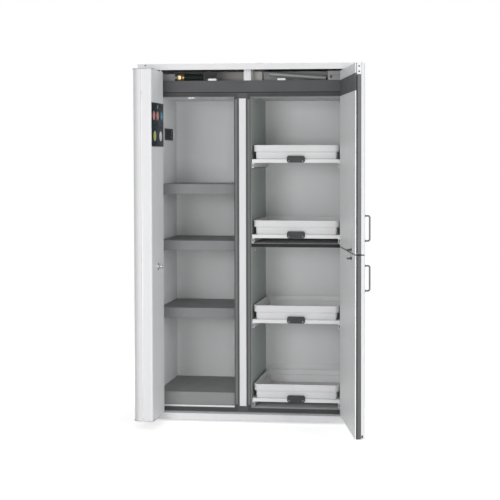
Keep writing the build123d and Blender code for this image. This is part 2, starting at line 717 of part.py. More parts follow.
upper_handle = bow_handle(upper_wing_plane, HANDLE_ABOVE_SPLIT)
upper_handle.label = "upper_door_handle"
export_step(upper_handle, "parts/upper_door_handle.step")
lower_handle = bow_handle(lower_wing_plane, lower_wing_height - HANDLE_BELOW_SPLIT - HANDLE_LENGTH)
lower_handle.label = "lower_door_handle"
export_step(lower_handle, "parts/lower_door_handle.step")

# Lock knob on the second leaf, turned about an axis square to the leaf
knob_place = leaf_2_plane.from_local_coords((leaf_width / 2, 0, base + KNOB_HEIGHT - doors_bottom))
knob_plane = Plane(origin=knob_place, x_dir=(0, 0, 1), z_dir=leaf_2_plane.y_dir * -1)
with BuildPart(knob_plane) as lock_knob:
    with Locations((0, 0, 0)):
        Cylinder(ROSE_RADIUS, ROSE_THICKNESS, align=(Align.CENTER, Align.CENTER, Align.MIN))
    with Locations((0, 0, ROSE_THICKNESS)):
        Cylinder(KNOB_NECK_RADIUS, KNOB_NECK, align=(Align.CENTER, Align.CENTER, Align.MIN))
    with Locations((0, 0, ROSE_THICKNESS + KNOB_NECK)):
        Cylinder(
            KNOB_RADIUS,
            KNOB_REACH - ROSE_THICKNESS - KNOB_NECK,
            align=(Align.CENTER, Align.CENTER, Align.MIN),
        )
    outer_face = lock_knob.faces().sort_by(Axis(knob_plane.origin, knob_plane.z_dir))[-1]
    chamfer(outer_face.edges(), length=KNOB_EDGE)
    with Locations((0, 0, KNOB_REACH)):
        Box(KEY_SLOT_LENGTH, KEY_SLOT_WIDTH, 2 * KEY_SLOT_DEPTH, mode=Mode.SUBTRACT)
lock_knob.part.label = "lock_knob"
export_step(lock_knob.part, "parts/lock_knob.step")

# Pull-out trays: heights of the front strips' lower edges
lower_strip = floor_top + FLOOR_TO_RUNNER + RUNNER_HEIGHT + RUNNER_TOP_GAP
upper_strip = divider_top + DIVIDER_TO_RUNNER + RUNNER_HEIGHT + RUNNER_TOP_GAP
upper_pitch = UPPER_PITCH_SHARE * (ceiling_bottom - divider_top)
lower_pitch = LOWER_PITCH_SHARE * (divider_bottom - floor_top)
strip_heights = [upper_strip + upper_pitch, upper_strip, lower_strip + lower_pitch, lower_strip]

strip_x = (partition_right + STRIP_SIDE_GAP, inner_right - STRIP_SIDE_GAP)
drawer_front = carcass_front + DRAWER_SETBACK
drawer_back = inner_back - DRAWER_BACK_GAP
runner_length = drawer_back - drawer_front
rail_plane = Plane(origin=(0, drawer_front, 0), x_dir=(1, 0, 0), z_dir=(0, -1, 0))


def rail_pair(height, points):
    """Adds a rail section and its mirror image, given as (reach from the wall, rise) points."""
    for wall, side in ((partition_right, 1), (inner_right, -1)):
        corners = [(wall + side * reach, height + rise) for reach, rise in points]
        with BuildSketch(rail_plane) as section:
            with BuildLine():
                Polyline(*corners)
                offset(
                    amount=RUNNER_SHEET,
                    side=Side.LEFT if side > 0 else Side.RIGHT,
                    kind=Kind.INTERSECTION,
                )
            make_face()
        extrude(section.sketch, amount=-runner_length)


# Each rail is a channel that opens away from the wall and nests in the one before it
fixed_section = [(RUNNER_REACH, 0), (0, 0), (0, RUNNER_HEIGHT), (RUNNER_REACH, RUNNER_HEIGHT)]
mid_low = RUNNER_SHEET + RUNNER_GAP
mid_section = [
    (RUNNER_REACH, mid_low),
    (MID_RAIL_OFFSET, mid_low),
    (MID_RAIL_OFFSET, RUNNER_HEIGHT - mid_low),
    (RUNNER_REACH, RUNNER_HEIGHT - mid_low),
]
drawer_low = 2 * mid_low
drawer_web = RUNNER_REACH + RUNNER_GAP + RUNNER_SHEET

with BuildPart() as fixed_rails:
    for strip in strip_heights:
        rail_pair(strip - RUNNER_TOP_GAP - RUNNER_HEIGHT, list(reversed(fixed_section)))
fixed_rails.part.label = "fixed_rails"
export_step(fixed_rails.part, "parts/fixed_rails.step")


def drawer_frame(strip):
    """Carrier pan with its front strip, and the inner rail under each side."""
    rail_base = strip - RUNNER_TOP_GAP - RUNNER_HEIGHT
    hook_top = RUNNER_HEIGHT - drawer_low
    hook = [
        (DRAWER_RAIL_OFFSET, drawer_low),
        (drawer_web - RUNNER_SHEET, drawer_low),
        (drawer_web - RUNNER_SHEET, hook_top),
        (DRAWER_RAIL_OFFSET, hook_top),
    ]
    with BuildPart() as frame:
        block(strip_x, (drawer_front, drawer_back), (strip, strip + STRIP_HEIGHT))
        offset(amount=-FRAME_SHEET, openings=frame.faces().sort_by(Axis.Z)[0])
        rail_pair(rail_base, hook)
        for wall, side in ((partition_right, 1), (inner_right, -1)):
            x_span = sorted((wall + side * (drawer_web - RUNNER_SHEET), wall + side * drawer_web))
            z_span = (rail_base + drawer_low, strip + STRIP_HEIGHT - FRAME_SHEET)
            block(x_span, (drawer_front + FRAME_SHEET, drawer_back - FRAME_SHEET), z_span)
    return frame.part


def drawer_tray(strip):
    """Moulded spill tray: a narrower foot below a wide stepped rim."""
    tray_floor = strip + STRIP_HEIGHT
    middle_x = (strip_x[0] + strip_x[1]) / 2
    middle_y = (drawer_front + drawer_back) / 2
    rim_width = strip_x[1] - strip_x[0] - 2 * TRAY_SIDE_GAP
    rim_depth = runner_length - 2 * TRAY_FRONT_GAP
    with BuildPart() as tray:
        with BuildSketch(Plane.XY.offset(tray_floor + TRAY_FOOT_HEIGHT)):
            with Locations((middle_x, middle_y)):
                RectangleRounded(rim_width, rim_depth, TRAY_CORNER)
        extrude(amount=TRAY_RIM_HEIGHT)
        with BuildSketch(Plane.XY.offset(tray_floor + TRAY_FOOT_HEIGHT)):
            with Locations((middle_x, middle_y)):
                foot = Rectangle(rim_width - 2 * TRAY_STEP, rim_depth - 2 * TRAY_FRONT_STEP)
            chamfer(foot.vertices(), length=TRAY_FOOT_CORNER)
        extrude(amount=-TRAY_FOOT_HEIGHT, taper=TRAY_DRAFT)
        offset(amount=-TRAY_WALL, openings=tray.faces().sort_by(Axis.Z)[-1], kind=Kind.INTERSECTION)
    return tray.part


def drawer_grip(strip):
    """Moulded grip plate with a finger groove, clipped over the front strip."""
    middle_x = (strip_x[0] + strip_x[1]) / 2
    low = strip + GRIP_RAISE
    with BuildPart() as grip:
        with BuildSketch(Plane.XZ.offset(-drawer_front)):
            with Locations((middle_x, low + GRIP_HEIGHT / 2)):
                plate = Rectangle(GRIP_WIDTH, GRIP_HEIGHT)
            chamfer(plate.vertices().group_by(Axis.Z)[-1], length=GRIP_CHAMFER)
        extrude(amount=GRIP_THICKNESS)
        with BuildSketch(Plane.XZ.offset(GRIP_THICKNESS - drawer_front)):
            with Locations((middle_x, low + GRIP_POCKET_HEIGHT)):
                SlotOverall(GRIP_POCKET_WIDTH, GRIP_POCKET_HEIGHT)
        extrude(amount=-GRIP_POCKET_DEPTH, mode=Mode.SUBTRACT)
    return grip.part


for number, strip in enumerate(strip_heights, start=1):
    with BuildPart() as mid_rails:
        rail_pair(strip - RUNNER_TOP_GAP - RUNNER_HEIGHT, list(reversed(mid_section)))
    pieces = {
        "frame": drawer_frame(strip),
        "tray": drawer_tray(strip),
        "grip": drawer_grip(strip),
        "mid_rails": mid_rails.part,
    }
    for name, piece in pieces.items():
        piece.label = f"drawer_{number}_{name}"
        export_step(piece, f"parts/drawer_{number}_{name}.step")

# Closing mechanism above the ceiling board
closer_y = carcass_front + CLOSER_SETBACK
closer_z = ceiling_top + CLOSER_RADIUS
closer_start = left + CLOSER_SHARE * WIDTH
with BuildPart(Plane(origin=(closer_start, closer_y, closer_z), z_dir=(1, 0, 0))) as closer_cylinder:
    Cylinder(CLOSER_RADIUS, CLOSER_LENGTH, align=(Align.CENTER, Align.CENTER, Align.MIN))
closer_cylinder.part.label = "closer_cylinder"
export_step(closer_cylinder.part, "parts/closer_cylinder.step")

# Stepped end fitting with its lever, and the sloping tube over the wing doors
tube_y = carcass_front + TUBE_SETBACK
tube_high = Vector(left + TUBE_START_SHARE * WIDTH, tube_y, ceiling_top + TUBE_RADIUS + TUBE_DROP)
tube_low = Vector(left + TUBE_END_SHARE * WIDTH, tube_y, ceiling_top + TUBE_RADIUS)
rod_plane = Plane(origin=(closer_start, closer_y, closer_z), z_dir=(-1, 0, 0))
lever_end = closer_start - CLOSER_FITTING
with BuildPart() as closer_links:
    with BuildSketch(rod_plane):
        Circle(CLOSER_NUT_RADIUS)
    extrude(amount=CLOSER_NUT_LENGTH)
    with BuildSketch(rod_plane):
        Circle(CLOSER_ROD_RADIUS)
    extrude(amount=CLOSER_FITTING)
    block(
        (lever_end - LEVER_LENGTH, lever_end),
        (closer_y - LEVER_THICKNESS / 2, closer_y + LEVER_THICKNESS / 2),
        (ceiling_top, ceiling_top + LEVER_HEIGHT),
    )
    with BuildSketch(Plane(origin=tube_high, z_dir=tube_low - tube_high)):
        Circle(TUBE_RADIUS)
    extrude(amount=(tube_low - tube_high).length)
closer_links.part.label = "closer_links"
export_step(closer_links.part, "parts/closer_links.step")

# Sheet brackets: the centre block, the tube's end bracket and two catch blocks
end_bracket_x = tube_low.X + TUBE_RADIUS
with BuildPart() as mechanism_brackets:
    block(
        (-CENTRE_BLOCK_WIDTH / 2, CENTRE_BLOCK_WIDTH / 2),
        (carcass_front + CENTRE_BLOCK_SETBACK, carcass_front + CENTRE_BLOCK_SETBACK + CENTRE_BLOCK_DEPTH),
        (ceiling_top, top - SHEET),
    )
    block(
        (end_bracket_x, end_bracket_x + END_BRACKET_WIDTH),
        (tube_y - END_BRACKET_DEPTH / 2, tube_y + END_BRACKET_DEPTH / 2),
        (ceiling_top, ceiling_top + END_BRACKET_HEIGHT),
    )
    for share in CATCH_SHARES:
        catch_x = left + share * WIDTH
        block(
            (catch_x - CATCH_WIDTH / 2, catch_x + CATCH_WIDTH / 2),
            (carcass_front, carcass_front + CATCH_DEPTH),
            (ceiling_top, ceiling_top + CATCH_HEIGHT),
        )
    with BuildSketch(Plane.XZ.offset(-(tube_y - END_BRACKET_DEPTH / 2))):
        with Locations((end_bracket_x + END_BRACKET_HOLE_INSET, ceiling_top + END_BRACKET_HOLE_INSET)):
            Circle(END_BRACKET_HOLE)
    extrude(amount=-END_BRACKET_DEPTH / 2, mode=Mode.SUBTRACT)
mechanism_brackets.part.label = "mechanism_brackets"
export_step(mechanism_brackets.part, "parts/mechanism_brackets.step")
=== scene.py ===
import json
import math
from collections import namedtuple

import bmesh
import bpy
from mathutils import Matrix, Vector


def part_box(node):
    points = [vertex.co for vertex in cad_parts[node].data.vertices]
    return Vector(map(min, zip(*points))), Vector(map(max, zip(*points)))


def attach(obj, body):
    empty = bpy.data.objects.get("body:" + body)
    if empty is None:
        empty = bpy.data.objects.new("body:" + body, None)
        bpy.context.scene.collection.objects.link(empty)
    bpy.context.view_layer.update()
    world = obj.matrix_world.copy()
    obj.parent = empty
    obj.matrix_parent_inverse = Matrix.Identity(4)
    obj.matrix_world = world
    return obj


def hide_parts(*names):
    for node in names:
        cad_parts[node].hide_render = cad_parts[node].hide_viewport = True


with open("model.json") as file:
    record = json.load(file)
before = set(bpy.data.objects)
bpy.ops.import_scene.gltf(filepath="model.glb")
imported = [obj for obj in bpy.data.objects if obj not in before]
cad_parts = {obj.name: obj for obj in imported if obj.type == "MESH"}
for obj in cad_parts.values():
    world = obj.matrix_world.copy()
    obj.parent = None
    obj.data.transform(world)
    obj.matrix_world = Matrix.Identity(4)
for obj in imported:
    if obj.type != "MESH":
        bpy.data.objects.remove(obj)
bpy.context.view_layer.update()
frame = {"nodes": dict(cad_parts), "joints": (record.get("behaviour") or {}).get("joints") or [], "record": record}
scene = bpy.context.scene
scene.view_settings.view_transform = "Standard"

# Lengths are millimetres in the row frame or a door's own frame, unless a comment says otherwise
MM = 0.001
Box = namedtuple("Box", "left front bottom right back top")


def node_box(node):
    """Box around a CAD node at rest, to a tenth of a millimetre."""
    low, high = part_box(node)
    return Box(*(round(length / MM, 1) for length in (*low, *high)))


# Places taken from the solids; the left door's leaves rest square to the front
roof = node_box("roof_panel")
ceiling = node_box("ceiling_board")
partition = node_box("partition_board")
divider = node_box("compartment_divider")
leaf_1 = node_box("leaf_1_skin")
leaf_2 = node_box("leaf_2_skin")
SILL_TOP = node_box("base_panel").top
FLOOR_TOP = node_box("floor_board").top
INNER_LEFT = node_box("left_wall_board").right
INNER_RIGHT = node_box("right_wall_board").left
INNER_BACK = node_box("back_wall_board").front
DOORS_BOTTOM = leaf_1.bottom
DOORS_TOP = leaf_1.top
DOOR_THICKNESS = leaf_1.right - leaf_1.left
LEAF_WIDTH = leaf_1.back - leaf_1.front
WING_WIDTH = 590.0
LOWER_WING_TOP = node_box("lower_door_skin").top
UPPER_WING_BOTTOM = node_box("upper_door_skin").bottom
DRAWERS = ("drawer_1", "drawer_2", "drawer_3", "drawer_4")
TRAYS = {drawer: node_box(drawer + "_tray") for drawer in DRAWERS}


# Doors' own frames at rest: x runs along a door from its first edge, y goes in from its outer face
def door_frame(corner, degrees):
    """Frame at an (x, y) corner, turned about the upright axis."""
    return Matrix.Translation((*corner, 0.0)) @ Matrix.Rotation(math.radians(degrees), 4, "Z")


# The wing doors' joint has the closed place at the start of its range and the rest place at its end
PIVOT_INSET = 12.0
swing = next(joint for joint in frame["joints"] if joint["name"] == "upper_door_swing")
wing_pivot = [round(length / MM, 1) for length in swing["pos_m"][:2]]
wing_edge = Matrix.Translation((PIVOT_INSET - WING_WIDTH, -PIVOT_INSET, 0.0))
WING = door_frame(wing_pivot, -swing["range_deg"][0]) @ wing_edge
LEAF_1 = door_frame((leaf_1.left, leaf_1.back), -90.0)
LEAF_2 = door_frame((leaf_2.right, leaf_2.front), 90.0)
CABINET = Matrix.Identity(4)
DOOR_FRAMES = {"leaf_1": LEAF_1, "leaf_2": LEAF_2, "upper_door": WING, "lower_door": WING}

# Directions that screws and turned forms face
TO_FRONT = (0, -1, 0)
TO_BACK = (0, 1, 0)
TO_LEFT = (-1, 0, 0)
TO_RIGHT = (1, 0, 0)
TO_TOP = (0, 0, 1)


# Material nodes
def add(tree, kind, links=None, **settings):
    """Adds one node; links gives its inputs as sockets or plain values."""
    made = tree.nodes.new("ShaderNode" + kind)
    for key, value in settings.items():
        setattr(made, key, value)
    for name, source in (links or {}).items():
        if isinstance(source, bpy.types.NodeSocket):
            tree.links.new(source, made.inputs[name])
        else:
            made.inputs[name].default_value = source
    return made


def rgba(colour, gain=1.0):
    """Colour as four numbers, made lighter or darker by gain."""
    return tuple(min(1.0, channel * gain) for channel in colour) + (1.0,)


def ramp(tree, factor, stops):
    """Colour ramp between two (position, colour) stops."""
    made = add(tree, "ValToRGB", {"Fac": factor})
    elements = made.color_ramp.elements
    for element, (position, colour) in zip(elements, stops):
        element.position = position
        element.color = colour
    return made.outputs["Color"]


def mixed(tree, factor, first, second, blend="MIX"):
    """Colour mix; 0, 6 and 7 are the mix node's factor and colour inputs, 2 its colour output."""
    links = {0: factor, 6: first, 7: second}
    return add(tree, "Mix", links, data_type="RGBA", blend_type=blend).outputs[2]


def span(tree, value, low, high, to_low=0.0, to_high=1.0):
    """Clamped linear map of a value."""
    links = {"Value": value, "From Min": low, "From Max": high, "To Min": to_low, "To Max": to_high}
    return add(tree, "MapRange", links).outputs["Result"]


def blank(name, **sockets):
    """New material with its Principled shader; sockets are values that hold all over the surface."""
    material = bpy.data.materials.new(name)
    material.use_nodes = True
    tree = material.node_tree
    shader = tree.nodes["Principled BSDF"]
    for key, value in sockets.items():
        shader.inputs[key.replace("_", " ")].default_value = value
    return material, tree, shader


# Coated and moulded surfaces; the edge radius is in metres, scales are per metre
MATERIALS = {}
EDGE_RADIUS = 0.0015
EDGE_TURN = (0.99, 0.75)
CLOUD_SCALE = 2.2
CLOUD_STOPS = (0.3, 0.7)
SMEAR_SCALE = 14.0
SMEAR_STOPS = (0.3, 0.7)
FLECK_STOPS = (0.35, 0.65)
FLECK_DARK = (0.95, 0.95, 0.95)
FLECK_LIGHT = (1.0, 1.0, 1.0)
BUMP_STRENGTH = 0.35


def edge_mask(tree):
    """Softened normal near edges, and a mask that is 1 on them."""
    bevel = add(tree, "Bevel", {"Radius": EDGE_RADIUS}, samples=4).outputs["Normal"]
    flat = add(tree, "NewGeometry").outputs["Normal"]
    dot = add(tree, "VectorMath", {0: bevel, 1: flat}, operation="DOT_PRODUCT")
    return bevel, span(tree, dot.outputs["Value"], *EDGE_TURN)


def surface(name, colour, tone, rough, pebble, edge, stretch=None, **sockets):
    """Adds a material with cloudy tone, pebbled bump, uneven gloss and edges lightened, part wear and part painted
    highlight.

    tone is the share that the colour varies by; rough is (low, high) roughness; pebble is the bump's
    (texture scale, height in metres); edge is the gain on the edges' colour, part wear and part painted highlight;
    stretch scales the texture space.
    """
    material, tree, shader = blank(name, **sockets)
    place = add(tree, "TexCoord").outputs["Object"]
    if stretch:
        place = add(tree, "Mapping", {"Vector": place, "Scale": stretch}).outputs["Vector"]
    cloud = add(tree, "TexNoise", {"Vector": place, "Scale": CLOUD_SCALE, "Detail": 5.0, "Roughness": 0.6})
    grain = add(tree, "TexNoise", {"Vector": place, "Scale": pebble[0], "Detail": 3.0})
    smear = add(tree, "TexNoise", {"Vector": place, "Scale": SMEAR_SCALE, "Detail": 4.0})
    tones = (rgba(colour, 1 - tone), rgba(colour, 1 + tone))
    tint = ramp(tree, cloud.outputs["Fac"], zip(CLOUD_STOPS, tones))
    flecks = (rgba(FLECK_DARK), rgba(FLECK_LIGHT))
    fleck = ramp(tree, grain.outputs["Fac"], zip(FLECK_STOPS, flecks))
    tint = mixed(tree, 1.0, tint, fleck, "MULTIPLY")
    bevel, mask = edge_mask(tree)
    # Edges lightened in colour: part wear, part painted highlight
    tint = mixed(tree, mask, tint, rgba(colour, edge))
    links = {
        "Height": grain.outputs["Fac"],
        "Strength": BUMP_STRENGTH,
        "Distance": pebble[1],
        "Normal": bevel,
    }
    bump = add(tree, "Bump", links)
    gloss = span(tree, smear.outputs["Fac"], *SMEAR_STOPS, *rough)
    tree.links.new(tint, shader.inputs["Base Color"])
    tree.links.new(gloss, shader.inputs["Roughness"])
    tree.links.new(bump.outputs["Normal"], shader.inputs["Normal"])
    MATERIALS[name] = material


def paint_over(name, colour, axis, start, end):
    """Paints a colour over a material along a row frame axis: none at start, all of it from end on."""
    tree = MATERIALS[name].node_tree
    place = add(tree, "TexCoord").outputs["Object"]
    along = add(tree, "SeparateXYZ", {"Vector": place}).outputs[axis]
    mask = span(tree, along, MM * start, MM * end)
    target = tree.nodes["Principled BSDF"].inputs["Base Color"]
    tree.links.new(mixed(tree, mask, target.links[0].from_socket, rgba(colour)), target)


# Paints
PAINT_LINE = 1.0
CASING_GREY = (0.71, 0.712, 0.722)
COARSE_PAINT = (620.0, 0.00012)
FINE_PAINT = (620.0, 0.0001)
for name in ("casing_paint", "wing_paint_shaded_end"):
    surface(
        name,
        CASING_GREY,
        tone=0.012,
        rough=(0.44, 0.52),
        pebble=COARSE_PAINT,
        edge=1.06,
        Specular_IOR_Level=0.35,
    )
surface("lining_paint", (0.78, 0.785, 0.79), tone=0.02, rough=(0.35, 0.5), pebble=FINE_PAINT, edge=1.08)
surface("frame_paint", (0.72, 0.725, 0.73), tone=0.012, rough=(0.36, 0.48), pebble=FINE_PAINT, edge=1.06)
# Hinge barrels painted lighter than the casing: painted light that evens out the shade in the fold's seam
surface("hinge_paint_lightened", (0.88, 0.88, 0.89), tone=0.02, rough=(0.5, 0.6), pebble=FINE_PAINT, edge=1.02)
surface("bracket_paint", CASING_GREY, tone=0.02, rough=(0.4, 0.52), pebble=FINE_PAINT, edge=1.06)
surface(
    "grille_paint",
    (0.045, 0.043, 0.042),
    tone=0.05,
    rough=(0.4, 0.5),
    pebble=FINE_PAINT,
    edge=1.3,
    Specular_IOR_Level=0.2,
)
for name, colour in (("shelf_paint", (0.2, 0.204, 0.207)), ("sump_paint", (0.24, 0.245, 0.243))):
    surface(
        name,
        colour,
        tone=0.03,
        rough=(0.42, 0.55),
        pebble=COARSE_PAINT,
        edge=1.12,
        Specular_IOR_Level=0.3,
    )

# Faced boards, and the doors' cores and edge strips
BOARD_GRAIN = (900.0, 0.0001)
BOARD_EDGING = (0.08, 0.081, 0.084)
for name in ("wall_board", "partition_board"):
    surface(
        name,
        (0.76, 0.765, 0.77),
        tone=0.03,
        rough=(0.45, 0.58),
        pebble=BOARD_GRAIN,
        edge=1.05,
        Specular_IOR_Level=0.2,
    )
    paint_over(name, BOARD_EDGING, "Y", ceiling.front + PAINT_LINE, ceiling.front + PAINT_LINE / 2)
surface(
    "door_core",
    (0.1, 0.101, 0.105),
    tone=0.06,
    rough=(0.5, 0.65),
    pebble=(700.0, 0.00015),
    edge=1.15,
    Specular_IOR_Level=0.25,
)
surface(
    "edge_strip",
    (0.135, 0.136, 0.14),
    tone=0.06,
    rough=(0.5, 0.65),
    pebble=(700.0, 0.0001),
    edge=1.15,
    Specular_IOR_Level=0.25,
)

# Rubber, foam and plastics
surface(
    "seal_rubber",
    (0.022, 0.022, 0.023),
    tone=0.1,
    rough=(0.6, 0.8),
    pebble=BOARD_GRAIN,
    edge=1.3,
    Specular_IOR_Level=0.2,
)
surface(
    "seal_foam",
    (0.17, 0.171, 0.173),
    tone=0.08,
    rough=(0.6, 0.8),
    pebble=BOARD_GRAIN,
    edge=1.2,
    Specular_IOR_Level=0.2,
)
PLASTIC_GRAIN = (500.0, 0.0001)
surface("foot_plastic", (0.03, 0.03, 0.032), tone=0.1, rough=(0.5, 0.65), pebble=PLASTIC_GRAIN, edge=1.4)
surface("cap_plastic", (0.42, 0.422, 0.428), tone=0.04, rough=(0.4, 0.55), pebble=PLASTIC_GRAIN, edge=1.2)
TURNED_GRAIN = (300.0, 0.00004)
surface("roller_plastic", (0.8, 0.79, 0.76), tone=0.03, rough=(0.35, 0.45), pebble=TURNED_GRAIN, edge=1.05)
surface(
    "tray_plastic",
    (0.7, 0.705, 0.71),
    tone=0.02,
    rough=(0.38, 0.5),
    pebble=(260.0, 0.00008),
    edge=1.05,
    Subsurface_Weight=0.12,
    Subsurface_Scale=0.004,
)
surface(
    "grip_plastic",
    (0.034, 0.036, 0.038),
    tone=0.06,
    rough=(0.42, 0.55),
    pebble=BOARD_GRAIN,
    edge=1.5,
    Specular_IOR_Level=0.3,
)
surface(
    "panel_gloss",
    (0.007, 0.017, 0.024),
    tone=0.15,
    rough=(0.25, 0.35),
    pebble=(30.0, 0.00001),
    edge=1.4,
    Specular_IOR_Level=0.06,
)

# Metals
ROLLED_GRAIN = (240.0, 0.00003)
ROLLED_STRETCH = (6.0, 1.0, 6.0)
surface(
    "zinc_steel",
    (0.62, 0.63, 0.64),
    tone=0.08,
    rough=(0.28, 0.42),
    pebble=ROLLED_GRAIN,
    edge=1.1,
    stretch=ROLLED_STRETCH,
    Metallic=0.9,
)
surface(
    "links_metal",
    (0.25, 0.253, 0.252),
    tone=0.1,
    rough=(0.45, 0.6),
    pebble=ROLLED_GRAIN,
    edge=1.1,
    stretch=ROLLED_STRETCH,
    Metallic=0.3,
)
surface(
    "handle_metal",
    (0.1, 0.103, 0.106),
    tone=0.05,
    rough=(0.3, 0.42),
    pebble=(260.0, 0.00003),
    edge=1.2,
    stretch=(1.0, 1.0, 8.0),
    Metallic=0.85,
)
surface(
    "lock_chrome",
    (0.6, 0.61, 0.62),
    tone=0.06,
    rough=(0.18, 0.28),
    pebble=(300.0, 0.00002),
    edge=1.1,
    Metallic=0.95,
)
surface(
    "brass",
    (0.5, 0.37, 0.17),
    tone=0.1,
    rough=(0.36, 0.5),
    pebble=TURNED_GRAIN,
    edge=1.15,
    Metallic=1.0,
)
SHEET_GRAIN = (240.0, 0.00004)
surface("shield_steel", (0.42, 0.405, 0.385), tone=0.06, rough=(0.45, 0.6), pebble=SHEET_GRAIN, edge=1.1)
surface("liner_paint", (0.3, 0.302, 0.305), tone=0.06, rough=(0.45, 0.6), pebble=SHEET_GRAIN, edge=1.1)
CAST_GRAIN = (400.0, 0.00005)
surface("dark_metal", (0.03, 0.034, 0.034), tone=0.1, rough=(0.3, 0.42), pebble=CAST_GRAIN, edge=1.8)
surface(
    "closer_paint",
    (0.012, 0.017, 0.014),
    tone=0.1,
    rough=(0.45, 0.6),
    pebble=CAST_GRAIN,
    edge=1.5,
    Specular_IOR_Level=0.1,
)

# Second colours: bare bracket, dark seal at sill and head, and painted shade on the left shield, the partition's
# right face and the wing doors' free ends
BRACKET_X = 440.0
SEAL_Z = (FLOOR_TOP + 18.0, ceiling.bottom - 14.0)
SEAL_DARK = (0.06, 0.06, 0.061)
SHIELD_SHADE_SPAN = (-20.0, -165.0)
WING_END_SHADE_Y = -851.0
RIGHT_FACE_SHADE = (partition.right - PAINT_LINE, partition.right - PAINT_LINE / 2)
paint_over("bracket_paint", (0.24, 0.24, 0.245), "X", BRACKET_X, BRACKET_X + PAINT_LINE)
paint_over("seal_foam", SEAL_DARK, "Z", SEAL_Z[0], SEAL_Z[0] - PAINT_LINE)
paint_over("seal_foam", SEAL_DARK, "Z", SEAL_Z[1], SEAL_Z[1] + PAINT_LINE)
# The left shield darkens away from the centre block: painted shade deep in the bay
paint_over("shield_steel", (0.07, 0.068, 0.066), "X", *SHIELD_SHADE_SPAN)
# The partition's right face is painted a darker green-grey than its other faces: painted shade
paint_over("partition_board", (0.4, 0.44, 0.415), "X", *RIGHT_FACE_SHADE)
# The wing doors' free ends are painted darker: painted shade
paint_over("wing_paint_shaded_end", (0.61, 0.612, 0.62), "Y", WING_END_SHADE_Y, WING_END_SHADE_Y - PAINT_LINE)

# Nodes whose finish differs from their slot's
NODE_FINISHES = {
    "closer_links": "links_metal",
    "closer_cylinder": "closer_paint",
    "mechanism_brackets": "bracket_paint",
    "front_seal": "seal_foam",
    "lock_knob": "lock_chrome",
    "sump_tray": "sump_paint",
    # The fold hinges take the lightened paint, painted light against the seam's shade
    "fold_hinge_outer": "hinge_paint_lightened",
    "fold_hinge_inner": "hinge_paint_lightened",
    "partition_board": "partition_board",
    "upper_door_skin": "wing_paint_shaded_end",
    "lower_door_skin": "wing_paint_shaded_end",
}
for row in frame["record"]["subparts"]:
    mesh = frame["nodes"][row["node"]].data
    mesh.materials.clear()
    mesh.materials.append(MATERIALS[NODE_FINISHES.get(row["node"], row["material_slot"])])


# Mesh building
TURN_STEPS = 24
BAR_STEPS = 16
SHARP_ANGLE = 32.0


def rounded_block(bm, low, high, radius):
    """Adds a box with rounded edges."""
    size = Vector(high) - Vector(low)
    centre = Matrix.Translation((Vector(high) + Vector(low)) / 2)
    made = bmesh.ops.create_cube(bm, size=1.0, matrix=centre @ Matrix.Diagonal((*size, 1.0)))
    edges = list({edge for vert in made["verts"] for edge in vert.link_edges})
    bmesh.ops.bevel(bm, geom=edges, offset=radius, segments=3, profile=0.5, affect="EDGES")


def facing(point, direction):
    """Matrix whose z axis leaves the point in that direction."""
    turn = Vector(direction).to_track_quat("Z", "Y").to_matrix().to_4x4()
    return Matrix.Translation(point) @ turn


def join_loops(bm, pairs):
    """Adds the faces between pairs of closed loops of points."""
    for lower, upper in pairs:
        for step in range(len(lower)):
            after = (step + 1) % len(lower)
            bm.faces.new((lower[step], lower[after], upper[after], upper[step]))


def close_ends(bm, loops):
    """Adds the faces over the first and the last loop."""
    bm.faces.new(loops[-1])
    bm.faces.new(list(reversed(loops[0])))


def turned(bm, profile, place, ring=False):
    """Adds a turned form through (radius, height, sides) points; sides 0 is round, 6 a hexagon."""
    loops = []
    for radius, height, sides in profile:
        loop = []
        for step in range(TURN_STEPS):
            angle = math.tau * step / TURN_STEPS
            reach = radius
            if sides:
                half = math.pi / sides
                reach = radius * math.cos(half) / math.cos((angle + half) % (2 * half) - half)
            point = Vector((reach * math.cos(angle), reach * math.sin(angle), height))
            loop.append(bm.verts.new(place @ point))
        loops.append(loop)
    join_loops(bm, zip(loops, loops[1:]))
    if ring:
        join_loops(bm, [(loops[-1], loops[0])])
    else:
        close_ends(bm, loops)


# Button head screw with a hexagon socket: (radius, height) as shares of the head's radius, and sides
SCREW_PROFILE = [
    (1.0, 0.0, 0),
    (1.0, 0.18, 0),
    (0.86, 0.46, 0),
    (0.62, 0.56, 0),
    (0.46, 0.56, 6),
    (0.42, 0.16, 6),
]


def bar(bm, points, radius):
    """Adds a round bar along points that lie in one plane square to the x axis."""
    loops = []
    across = Vector((1, 0, 0))
    for index, point in enumerate(points):
        before = points[max(index - 1, 0)]
        after = points[min(index + 1, len(points) - 1)]
        run = (Vector(after) - Vector(before)).normalized()
        up = run.cross(across)
        loop = []
        for step in range(BAR_STEPS):
            angle = math.tau * step / BAR_STEPS
            offset = across * math.cos(angle) + up * math.sin(angle)
            loop.append(bm.verts.new(Vector(point) + radius * offset))
        loops.append(loop)
    join_loops(bm, zip(loops, loops[1:]))
    close_ends(bm, loops)


def plate(bm, outline, low, high, radius):
    """Adds a flat plate over an outline of (x, y) points, with its rims rounded."""
    loops = []
    for height in (low, high):
        loops.append([bm.verts.new((x, y, height)) for x, y in outline])
    rims = [bm.faces.new(loop) for loop in loops]
    join_loops(bm, [loops])
    edges = [edge for rim in rims for edge in rim.edges]
    bmesh.ops.bevel(bm, geom=edges, offset=radius, segments=2, profile=0.5, affect="EDGES")


